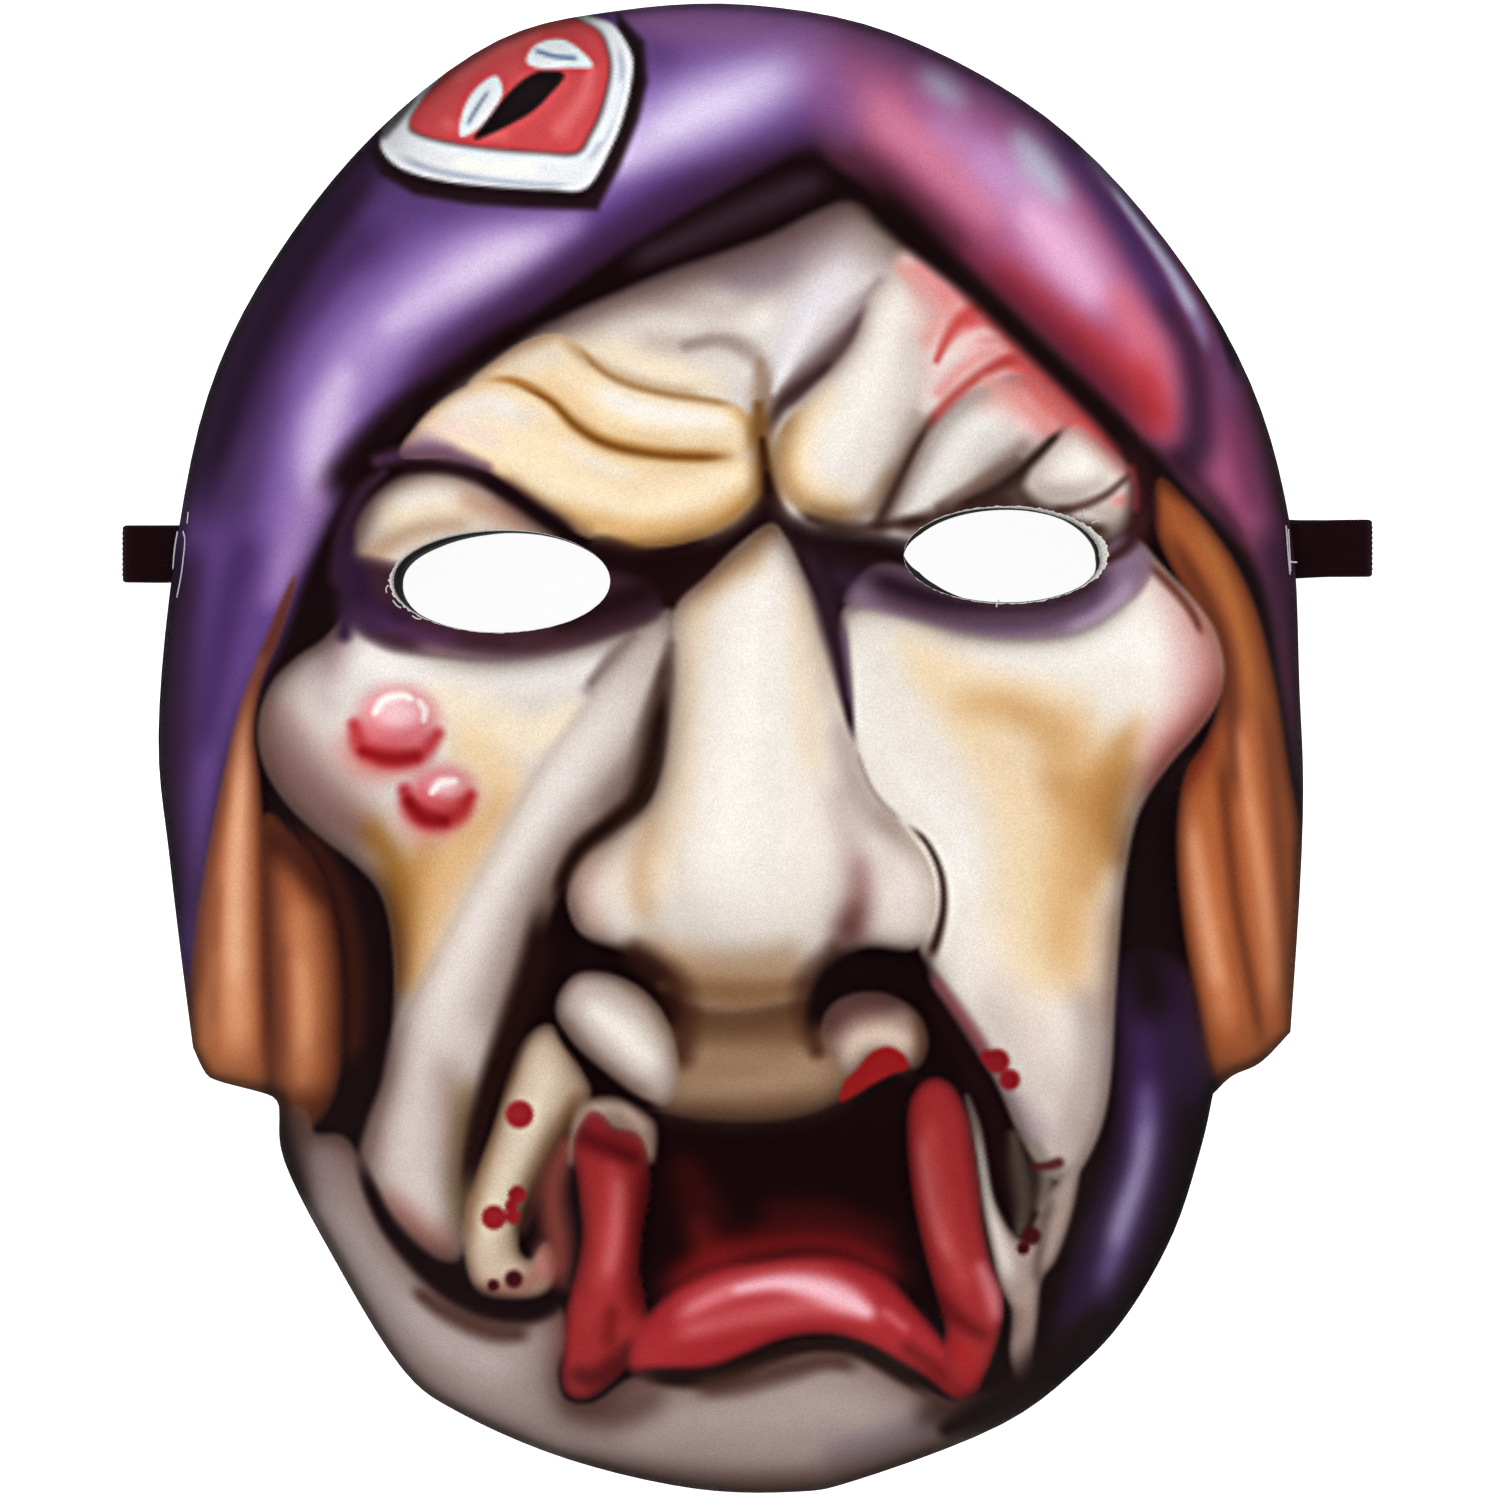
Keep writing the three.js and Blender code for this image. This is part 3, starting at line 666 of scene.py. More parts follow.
def paint_right_lock(p):
    """The long lock at the right, with a second one inside it"""
    p.form(
        [(75, 47), (79, 44), (83.6, 39), (88.6, 31.6), (92.6, 22), (95.6, 9), (98, -6), (103, -30),
         (103, -58), (90, -62), (84.6, -57), (82.2, -46), (80, -34), (78.6, -22), (78.6, -12), (80.2, -4),
         (83.6, 1.4), (86, 9), (85.4, 17), (81.4, 25), (77.4, 32), (74.6, 39)],
        0xB05E32, edge=0.8, soft=0.7, rim=(0x5C2816, 1.5, 0.8),
        strokes=[
            (0xA05826, 0.85, [(78, 42, 2.4), (83, 36, 3), (88, 26, 3.4), (91.4, 14, 3.4), (94, 0, 2.6)]),
            (0xC47840, 0.75, [(80, 40.6, 1), (84, 35, 1.5), (87.6, 27, 1.6), (90, 18, 1.4),
                (91.6, 8, 1.2)]),
            (0x5C2814, 0.95, [(76, 40, 1.8), (79.6, 33, 2.4), (83.4, 26, 2.8), (86.6, 17.6, 2.8),
                (87.8, 8, 2.8), (88.4, -2, 2.2), (89, -12, 1.8)]),
            (0x70361C, 0.8, [(93, 10, 1.4), (94.6, -2, 1.8), (96, -18, 2), (97, -34, 2), (97, -48, 2)]),
            (0xDA8A5E, 0.9, [(88.8, 8, 1.4), (90.4, -6, 2.4), (93, -22, 3), (94.8, -38, 3), (95, -48, 2)]),
            (0xE8A076, 0.6, [(90.4, -6, 1), (92.8, -22, 1.2), (94.4, -36, 1)]),
            (0xCE7C50, 0.95, [(80.6, -8, 2), (81.4, -20, 4), (83.4, -32, 4.8), (85.8, -44, 4.4),
                (87.6, -52, 3)]),
            (0xE8A67E, 0.85, [(80.6, -12, 1.4), (81.8, -22, 2.4), (83.6, -33, 2.8), (86, -44, 2.4)]),
            (0x602A14, 0.95, [(85.6, 2, 1.8), (86.8, -12, 1.8), (88.6, -28, 1.7), (91.6, -44, 1.7),
                (93.6, -55, 1.6)]),
            (0x8C4824, 0.6, [(86.4, -30, 0.8), (89, -44, 0.9), (90.6, -54, 0.8)]),
            (0x7A1E14, 0.9, [(82.6, 4, 4), (81.4, -1, 4.4), (79.2, -5.6, 3.4)]),
            (0x683018, 0.9, [(99.4, -12, 2.4), (100.6, -32, 2.6), (100, -50, 3.4), (92, -57, 3),
                (85, -60, 3)]),
            (0x42180E, 0.85, [(73.6, 50, 3), (77, 46.4, 2.8), (80.4, 43.6, 1.8)]),
        ],
    )


def paint_violet_tail(p):
    """The dark violet end of the hood beside the jaw"""
    p.form(
        [(68, -38), (78.6, -38), (82, -50), (85, -64), (83, -76), (77, -92), (69, -105), (60, -114),
         (57, -104), (59.6, -92), (64, -80), (67.4, -68), (68, -54)],
        0x2C1836, edge=1.8, soft=1.3,
        strokes=[
            (INK, 0.95, [(72, -36, 7), (74, -44, 6)]),
            (0x42265C, 0.75, [(72, -50, 3), (73, -58, 3.6), (72, -68, 4)]),
            (0x806CA4, 0.9, [(72.6, -56, 2), (72.8, -66, 3), (71.4, -75, 3.2), (68.6, -84, 3.4),
                (66, -92, 2.6), (64, -98, 1.6)]),
            (0xC4BADA, 0.85, [(73, -64, 1.4), (71.8, -73, 1.8), (69, -81, 2.2), (66.6, -89, 1.8)]),
            (INK, 0.95, [(81, -58, 4), (80.6, -70, 5.4), (78, -82, 5.6), (73, -93, 5.6), (65, -105, 5.6)]),
            (0x221028, 0.8, [(67, -66, 2), (64, -78, 2.6), (60, -90, 3.4), (57, -102, 4)]),
        ],
    )


def paint_forehead(p):
    """Grey skin under the hood's edge, with the folds above the brows"""
    p.form(
        [(-52, 60), (-45, 65.4), (-38, 70), (-30, 74), (-21, 78), (-10, 82.6), (0, 86), (8, 89), (15, 92.6),
         (21, 94.6), (26, 91), (32, 85), (38, 78.6), (45, 71.8), (52, 65.6), (59, 59.8), (65, 54), (70, 47),
         (71, 40), (60, 36), (44, 36), (24, 34), (7, 34), (-6, 38), (-30, 48), (-52, 52)],
        PEARL, edge=2.4, soft=1.5, rim=(BROWN, 2.4, 0.85),
        strokes=[
            (GREY, 0.9, [(-26, 76, 5), (-14, 79, 5), (-2, 81, 5), (8, 82, 6), (16, 88, 7)]),
            (0x62485C, 0.85, [(-16, 83, 4), (-6, 86, 5), (2, 89, 6), (10, 92, 6), (18, 96, 4)]),
            (0x96808C, 0.85, [(0, 84, 4), (8, 86, 5), (16, 90, 6), (23, 92, 4)]),
            (0x60485C, 0.55, [(-32, 75, 4), (-20, 80, 6), (-8, 84, 7), (4, 87, 7), (12, 91, 5)]),
            (0x301C2A, 0.75, [(-26, 79, 3), (-16, 84, 5), (-6, 88, 6), (4, 92, 7), (13, 95, 7), (21, 96, 6),
                (26, 92, 3)]),
            (0x705A7A, 0.6, [(-4, 82.6, 1.4), (2, 81, 2.2), (8, 82.4, 2.4), (13, 86, 1.6)]),
            (0xB09EA0, 0.8, [(21, 88, 5), (27, 86, 5)]),
            (BONE, 0.9, [(-22, 73, 4), (-14, 75, 5), (-4, 77, 5), (5, 76, 5)]),
            (WHITE, 0.8, [(-8, 76, 3), (0, 77.4, 3.4), (6, 74.6, 3)]),
            (CREAM, 0.9, [(-30, 70, 4), (-22, 69, 5), (-12, 66, 5), (-3, 63, 4)]),
            (0xDED6DE, 0.95, [(20, 84, 5), (15, 78, 6), (11.6, 71.6, 5), (9.6, 66, 3)]),
            (0xECE8EE, 0.9, [(18, 81.6, 3), (14.6, 77, 3.6), (11.6, 71, 3), (9.4, 66, 2)]),
            (0x967E78, 0.6, [(-18, 79, 2), (-9, 77.6, 2.4), (0, 77, 2.4), (6, 80, 2)]),
            (0xA0887A, 0.7, [(-18, 72.4, 1.8), (-10, 70.6, 2.2), (-2, 71.4, 2), (4, 70, 1.6)]),
        ],
    )
    p.spray(0x483244, 0.55, [(-20, 84, 3), (-9, 89, 4), (1, 93.6, 4.6), (11, 98, 4.4), (19, 101, 3)])
    p.spray(0x826860, 0.5, [(-8, 70.6, 2), (-2, 71.6, 2.4), (3, 69.6, 3), (5.8, 66, 3), (6, 61, 2.4)])
    p.spray(0x7C646A, 0.8, [(26.4, 81, 3), (23.8, 76.6, 5.4), (20.4, 71.4, 6.8), (16, 66.4, 6.4),
        (11, 62, 4)])
    p.spray(0x523A3A, 0.85, [(24, 77, 1.4), (21.4, 73, 2.8), (17.8, 68.4, 4), (13.2, 64.4, 4),
        (9, 60.8, 3.4), (6.4, 57, 3)])
    p.spray(SOOT, 0.5, [(18.2, 68.6, 1), (15.2, 65.6, 1.8), (11.2, 62.4, 2.2), (8, 59.4, 2),
        (6.4, 56, 1.6)])
    p.spray(0xEEE8EC, 0.8, [(14, 75, 1.4), (11.4, 70.6, 2), (9, 66, 1.8), (7.4, 62.6, 1)])


def paint_left_brow(p):
    """Two heavy rolls over the left eye"""
    # shadow under the hood's edge
    p.spray(INK, 0.95, [(-72, 42, 5), (-66, 50, 6), (-58, 58, 5.4), (-50, 64.4, 4.4), (-42, 70.4, 3.8),
        (-33, 76, 3.4)])
    p.form(
        [(-46, 63.6), (-41, 68), (-36, 71.2), (-31, 72.4), (-27, 70.6), (-23, 66.8), (-18, 64.2),
         (-12, 62.4), (-5, 61.2), (0.6, 60), (4, 57.4), (4.4, 54.2), (2, 51.8), (-4, 51.4), (-12, 51.2),
         (-19, 52.4), (-24, 54.6), (-28, 58.8), (-33, 62.8), (-39, 64.8)],
        CREAM, edge=0.7, soft=0.7, rim=(OCHRE, 1.2, 0.55),
        strokes=[
            (0x8C7470, 0.9, [(-45, 66, 2.6), (-39, 70, 3.4), (-32, 73, 3)]),
            (0xE2D6CA, 0.7, [(-38, 67, 3), (-31, 69, 3)]),
            (WHITE, 0.95, [(-25, 64.4, 2.8), (-19, 60.6, 3.6), (-12, 58.8, 3.6), (-4, 58, 3),
                (1, 56.6, 2.2)]),
            (0xEECEA0, 0.8, [(-35, 66, 3), (-28.6, 61.6, 3), (-24, 57.4, 3), (-17, 54.6, 3),
                (-8, 53.6, 2.4)]),
            (0xC49254, 0.85, [(1.4, 59.4, 2), (4, 56, 2.4), (3.6, 52.4, 2)]),
            (0x967E70, 0.65, [(-29, 71.6, 1.8), (-24.6, 68, 2)]),
        ],
    )
    p.form(
        [(-58, 52), (-54, 57.6), (-49.6, 61.4), (-45, 63.6), (-40, 64.4), (-35, 62.8), (-30, 59.8),
         (-25.6, 55.4), (-20, 52.6), (-13, 51.2), (-4, 50.8), (2, 51.2), (5, 48.8), (4.8, 44.4), (1, 40),
         (-6, 36.8), (-13, 35.4), (-20, 35.6), (-27, 38), (-33, 41.8), (-38, 45.8), (-44, 49.4),
         (-50, 51.2), (-55, 51)],
        CREAM, edge=0.7, soft=0.7, rim=(OCHRE, 1.3, 0.6),
        strokes=[
            (BONE, 0.95, [(-51, 58.4, 3.4), (-45.6, 60.4, 4.4), (-40, 59.6, 4.4), (-35, 57, 4)]),
            (WHITE, 0.8, [(-48, 60, 2.4), (-43, 60.8, 2.8), (-39, 59.6, 2.4)]),
            (0xF0D8CE, 0.9, [(-54, 57, 3), (-48, 56, 3.6), (-42, 54, 3)]),
            (0x92749C, 0.8, [(-62, 54.6, 3), (-57, 54.4, 3.6), (-52.6, 53.4, 2.8), (-49, 52.4, 1.6)]),
            (0x603E60, 0.8, [(-61, 51, 2.4), (-56, 51.4, 2.4), (-50.6, 51, 2), (-46, 50, 1.4)]),
            (0xFAE4C0, 0.9, [(-34, 54.6, 5), (-26, 49.6, 5.4), (-17, 46.6, 5.4), (-8, 45.6, 5)]),
            (WHITE, 0.7, [(-29, 53, 1.6), (-24, 50, 2.2), (-18, 48.2, 1.8)]),
            (0xE2B274, 0.9, [(-34, 44, 2.4), (-26, 40.2, 3.4), (-15, 38.2, 3.8), (-5, 39.6, 3.8),
                (1.6, 43.4, 3.8), (4.6, 48, 3)]),
            (0x84541E, 0.9, [(-24, 36.8, 1.4), (-14, 35.8, 2), (-5, 37.2, 2.4), (1.4, 40.8, 2.6),
                (5, 45, 2.6), (5, 49.4, 2.2)]),
            (BROWN, 0.8, [(-39, 46.6, 2), (-32, 41.8, 2.4), (-25, 37.6, 1.8)]),
            (WHITE, 0.5, [(-4, 48.6, 1), (-0.4, 48.4, 1)]),
        ],
    )
    p.spray(0xC4A076, 0.6, [(-30, 72, 1.6), (-25, 68.4, 2), (-19, 65.2, 2), (-12, 63.2, 2), (-4, 62, 1.8)])
    p.spray(0x96683A, 0.65, [(-27.4, 71, 0.8), (-23, 66.4, 1.1), (-18, 63.8, 1.2), (-11, 62, 1.2),
        (-4, 61, 1.2), (2, 59.8, 1)])
    p.spray(0xB07836, 0.95, [(-45, 64.8, 0.9), (-38, 64.4, 1.3), (-32, 61.2, 1.7), (-27.4, 56.8, 2.1),
        (-22, 53.6, 2.2), (-14, 51.8, 2.1), (-6, 51.2, 2), (2, 51.4, 1.8)], hard=0.05)
    p.spray(0x623814, 0.55, [(-40, 64.6, 0.5), (-32, 61, 0.8), (-27, 56.2, 1.1), (-21, 53, 1.2),
        (-13, 51.4, 1.1), (-5, 51, 1.1), (1.4, 51.4, 1)])


def paint_left_lid(p):
    """The lid under the left brow, with the dark line between them"""
    p.form(
        [(-67, 28), (-66.4, 36), (-63.4, 42.4), (-58, 46.8), (-51.6, 48.2), (-45.5, 47), (-39.5, 43.6),
         (-34, 39), (-31, 35), (-40, 31), (-52, 29), (-61, 26)],
        0xDECEBE, edge=1.7, rim=(0x684A44, 1.6, 0.75),
        strokes=[
            (CREAM, 0.95, [(-58.6, 41, 4), (-53, 43.6, 5), (-47, 42.6, 4)]),
            (WHITE, 0.85, [(-58, 43, 2.6), (-53, 44.6, 3), (-48.6, 44, 2.2)]),
            (0x684E54, 0.85, [(-66.4, 28, 3.4), (-65.8, 36, 3), (-63.4, 42, 2)]),
            (0xAC8668, 0.85, [(-64, 32, 2.8), (-60, 36, 2.8), (-54, 38.6, 2), (-47, 39.4, 1.6)]),
            (0xC89882, 0.9, [(-46.6, 43.4, 2.4), (-42, 41.6, 3), (-37, 38.6, 2.8)]),
            (0x6E4840, 0.85, [(-41, 44, 1.6), (-37, 41, 2.2), (-32.6, 37.8, 2.2)]),
        ],
    )
    p.spray(0x5C3A5C, 0.65, [(-62, 50.4, 2.2), (-56, 51.8, 2.8), (-49.6, 51.4, 2.8), (-43, 49.2, 2)])
    p.spray(0x3C2036, 0.85, [(-69, 30, 3), (-68, 38, 3), (-65, 44.6, 2.6), (-61, 48.4, 1.4)])
    p.spray(0x261016, 0.93, [(-60, 47.8, 1), (-55.6, 49, 1.5), (-50.6, 49.2, 1.9), (-46, 48.2, 2.1),
        (-41.6, 46.2, 2.4), (-37, 43.4, 2.7), (-32.6, 40.4, 2.8), (-27, 37.4, 2.6)], hard=0.05)
    p.spray(INK, 0.8, [(-45, 47.6, 1), (-40.6, 45.4, 1.5), (-36, 42.5, 1.8), (-31, 39.4, 1.9),
        (-26.6, 37, 1.8)])


def paint_right_brow(p):
    """A big roll beside the nose's root and a smaller one over the right eye"""
    p.spray(BLUSH, 0.9, [(31, 85, 4), (38, 78, 8), (45, 71, 9), (53, 63.4, 9), (60, 56.6, 7)])
    p.spray(0xE28488, 0.85, [(33, 83, 4), (40, 76.6, 6), (47, 70, 6), (54, 63.6, 6), (61, 57, 5)])
    p.spray(0xCE4E52, 0.8, [(34, 83, 1.8), (41, 76, 2.6), (48.6, 69, 3), (56, 62.4, 3.2), (63.6, 56, 3),
        (69, 50, 2)])
    p.form(
        [(24.6, 79), (29, 83), (34, 81), (37, 75), (37, 68), (35.8, 62), (33, 56.6), (30.6, 50.4),
         (27.4, 44.6), (23.4, 40.8), (18, 39.4), (12.8, 41.2), (9.4, 45), (7.8, 50.4), (9, 56), (13, 61),
         (18.4, 66.4), (22.4, 72)],
        BONE, edge=1.4, soft=1.1, rim=(0x846858, 1.6, 0.45),
        strokes=[
            (WHITE, 0.75, [(28, 76, 4), (25, 66, 6), (21.4, 57, 7), (18, 50, 5)]),
            (0xD6CAC4, 0.85, [(31.6, 72, 4), (32.4, 64, 4), (29.6, 55, 4), (25.6, 47, 3)]),
            (0xE8B8B6, 0.85, [(33, 81, 4), (35.4, 74, 4.6), (36, 66, 3)]),
            (CREAM, 0.95, [(16.6, 62, 4), (13, 56.6, 4.6), (11.8, 50.6, 5), (13.4, 46, 5),
                (18.4, 43.4, 4.6)]),
            (0xE2B274, 0.9, [(14, 61.4, 2), (10.2, 56, 3), (9.4, 50, 3.4), (11, 45, 3.6), (16, 41.8, 3.4),
                (22.6, 42, 2.6)]),
            (0x8C5C22, 0.92, [(12, 59.4, 1.4), (8.4, 54, 2.2), (8.2, 48, 2.5), (11, 42.8, 2.7),
                (16.6, 40.2, 2.4), (22.4, 40.6, 1.6)]),
            (0x785C4E, 0.75, [(25, 43, 2.2), (29, 49, 2.4), (32, 56, 2.2), (34.6, 61, 2)]),
            (0x704C2C, 0.85, [(12, 43, 2), (17, 40.4, 2.8), (23, 41, 3.2), (27, 45, 3), (30, 51, 2.4)]),
            (0x301812, 0.8, [(12, 41, 1.4), (17, 38.6, 2), (23, 39, 2.2), (27, 42.6, 1.8)]),
        ],
    )
    p.spray(BONE, 0.85, [(36.6, 61, 2.4), (40, 66, 3.2), (44, 69.2, 3), (48, 70.6, 2)])
    p.spray(0xEED4D2, 0.7, [(34, 60, 2.4), (36, 66, 3), (37, 73, 3)])
    p.form(
        [(25, 36), (28.8, 43), (32.4, 50), (36, 57), (41, 61.4), (47, 64.6), (52, 65), (56.6, 61.6),
         (59.6, 57), (55.4, 52.4), (51, 48.4), (47.4, 45), (44, 41), (36, 38), (29, 35)],
        PEARL, edge=1.0, soft=0.9, rim=(UMBER, 1.5, 0.75),
        strokes=[
            (WHITE, 0.95, [(31, 41, 2.4), (35.6, 48, 4), (40.4, 54.4, 5), (45, 58.6, 4.4)]),
            (BLUSH, 0.95, [(45, 61, 4), (50, 60, 5), (53, 56.6, 5)]),
            (0xDE787C, 0.95, [(49, 64, 3), (53.6, 60.4, 4), (56.6, 56, 4)]),
            (0x80665C, 0.85, [(34, 38.6, 3), (41, 43, 3.6), (46, 48, 3.6), (51.4, 53, 2.4)]),
        ],
    )


def paint_red_folds(p):
    """Red folds beside the right brow, each with its glow above it, and the dark gap between the rolls"""
    p.spray(0xE09A96, 0.75, [(30, 84, 2.4), (35, 80.6, 4.4), (39.6, 77.6, 4)])
    p.spray(0xE49E9A, 0.75, [(42, 78.6, 3), (38, 76, 3.6), (34.4, 71.6, 2.8)])
    p.spray(0xECCEC8, 0.8, [(37, 66.8, 1.6), (40, 70.2, 2.2), (43.6, 72.8, 2.4), (47, 72.6, 1.8)])
    p.spray(0xC64642, 0.85, [(45, 77.8, 1.4), (42, 76.6, 2.1), (39.4, 74.2, 2.2), (37.4, 71, 1.7),
        (36, 68, 1.1)])
    p.spray(0xE08C88, 0.8, [(50, 70.6, 2), (45, 69.4, 2.4), (40.4, 66.4, 2.6), (36.6, 62.4, 2.2)])
    p.spray(0xB2403C, 0.85, [(52, 68.4, 1.6), (47.6, 67.6, 2), (43.4, 65.2, 2.1), (39, 61.6, 2.1),
        (35.6, 58, 1.8), (33.4, 55, 1.2)])
    p.spray(0xE09690, 0.7, [(45, 64.2, 2.4), (50, 62, 4.4), (55, 59, 4.4), (57, 55.6, 2.4)])
    p.spray(0xD45C58, 0.7, [(52, 64.4, 2), (56, 60.4, 2.8), (60, 56.8, 2.2)])
    p.spray(0x5C4238, 0.85, [(36.6, 59.4, 1.4), (33.6, 55.4, 2.2), (31, 50.4, 2.6), (28.4, 45, 2.8),
        (26, 40, 2.8), (24, 36.6, 2.2)])
    p.spray(0x3C2620, 0.75, [(34.8, 57, 0.8), (32.2, 52.6, 1.2), (29.8, 47.6, 1.4), (27.2, 42.4, 1.6),
        (25, 38.6, 1.6)])


def paint_right_bump(p):
    """The round bump at the outer end of the right eye, with the shade under it"""
    p.form(
        [(51.6, 45.6), (54, 50), (57.4, 54), (60.6, 56), (64, 54), (67.4, 51), (70.6, 47.6), (70.8, 44.4),
         (69.4, 41.8), (66, 41.4), (60, 42.4), (55, 43)],
        BONE, edge=1.1, soft=0.9, rim=(0x705048, 1.5, 0.6),
        strokes=[
            (WHITE, 0.85, [(57, 49.6, 3.6), (61.6, 49.4, 4)]),
            (0xBAACA6, 0.85, [(54.6, 45.6, 2), (60, 45, 2.6), (65, 46.4, 2.2)]),
            (0xDA7874, 0.85, [(61.6, 55.6, 2), (66, 52.4, 2.8), (69.6, 48.6, 2.6)]),
        ],
    )
    p.glow(0xD8908C, 0.95, (68.2, 43.4), (3, 2.2), 15)
    p.spray(0x583832, 0.85, [(70.6, 49, 0.8), (68.4, 46.6, 1.2), (65, 44, 1.4), (60.4, 42.2, 1.5),
        (55.4, 41.6, 1.5)])
    p.spray(0x684E44, 0.7, [(50, 50.4, 1.6), (46, 47.4, 2.6), (41, 44.6, 2.4), (36.6, 42.4, 1.8)])
    p.area(0x3E2A24, 0.88, [(36, 40), (42, 43), (47, 45.6), (51.6, 48.6), (51.6, 45.6), (54.6, 43),
        (60, 41.6), (54, 40), (44, 39)], 1.3)
    p.spray(0x2E1C1A, 0.95, [(59, 56.8, 0.8), (56, 53.8, 1.4), (52.8, 50.6, 1.9), (49.8, 47.8, 2.3),
        (46.6, 45.4, 2.4), (42, 43.2, 2), (38, 41.6, 1.4)])
    p.spray(0x3A1E1A, 0.85, [(50, 42.4, 2), (56, 40.4, 2), (62, 38.8, 2), (67, 37.6, 2.2)])
    p.spray(0x341C1A, 0.7, [(28, 38, 2.6), (36, 40.6, 2.8), (44, 42.4, 2.6), (51, 43.4, 2)])
    p.spray(0x2E1014, 0.97, [(69.8, 54, 2), (71.6, 48, 3.4), (71.8, 41, 4.4), (70.6, 34, 4.2)])


def paint_hood_shadow(p):
    """The shadow that the hood's edge throws on the skin at the right"""
    p.spray(0x963436, 0.7, [(38, 82, 1.6), (43, 77.6, 2.4), (48, 72.6, 2.6), (54, 67, 3.2), (60, 61, 3.4),
        (66.4, 54.2, 3), (70.6, 48, 2)])
    p.spray(INK, 0.97, [(20, 100, 5), (29, 93, 4.6), (37, 85.6, 3.8), (44.4, 79, 3.4), (52, 71.6, 3.4),
        (60, 63.8, 3.4), (68, 55.4, 3.4), (73.4, 47, 3)], hard=0.15)
    p.spray(0x963C3A, 0.5, [(70.2, 49, 1.4), (71, 45, 1.4), (71, 42, 1.2)])


def paint_frown(p):
    """The dark pinch between the brows, and the shadow over both sides of the nose"""
    p.spray(0x967658, 0.55, [(5, 67.6, 1.6), (5, 63, 3.4), (5, 57, 4.6), (5.6, 51, 4.8), (6, 45, 5),
        (7, 40, 5)])
    p.spray(0x744A1E, 0.85, [(4.8, 60, 2), (5, 56, 3.4), (5.6, 51, 3.4), (6.4, 45, 4), (7, 39, 4.4)])
    p.spray(0x40220E, 0.9, [(5.4, 54, 1.2), (6, 49, 2), (6.6, 44, 3), (7, 39, 3.6)])
    p.spray(0x220E0A, 0.95, [(6.2, 48, 1), (6.8, 43, 2.2), (7, 38, 3.2)])
    p.form(
        [(-23, 37), (-14, 34.4), (-6, 35.8), (1, 39.6), (6, 44), (8, 40), (6, 36), (0, 31.6), (-6, 26.6),
         (-11, 21.8), (-16, 20.4), (-22, 21), (-28, 24), (-26, 33)],
        0x1C090C,
        strokes=[
            (0x5A3E3C, 0.8, [(-24, 21.4, 2.6), (-19, 20.8, 2.6), (-14, 21.6, 2.4)]),
            (0x4C3022, 0.6, [(-11, 24, 2), (-5, 29, 2), (2, 34.6, 2)]),
        ],
    )
    p.form(
        [(7, 44), (10, 41), (14, 38.6), (20, 38), (25, 37.4), (31, 36), (33, 32), (34, 28), (30, 25.4),
         (24, 24.6), (20.4, 21), (17.4, 20), (15, 26), (12.4, 31.6), (9, 36.6)],
        0x221016,
        strokes=[
            (0x362238, 0.8, [(19, 30, 3), (23, 28, 3.4), (30, 27, 3)]),
            (INK, 0.9, [(12, 39, 3), (19, 36.6, 3.4), (27, 34.6, 3.4), (32, 31, 3)]),
        ],
    )
    p.spray(0x2C1612, 0.75, [(10.6, 42, 1.2), (14, 40, 1.8), (19, 38.6, 2.2), (25, 38.8, 2.2),
        (31, 39.6, 2), (36, 40.4, 1.6)])


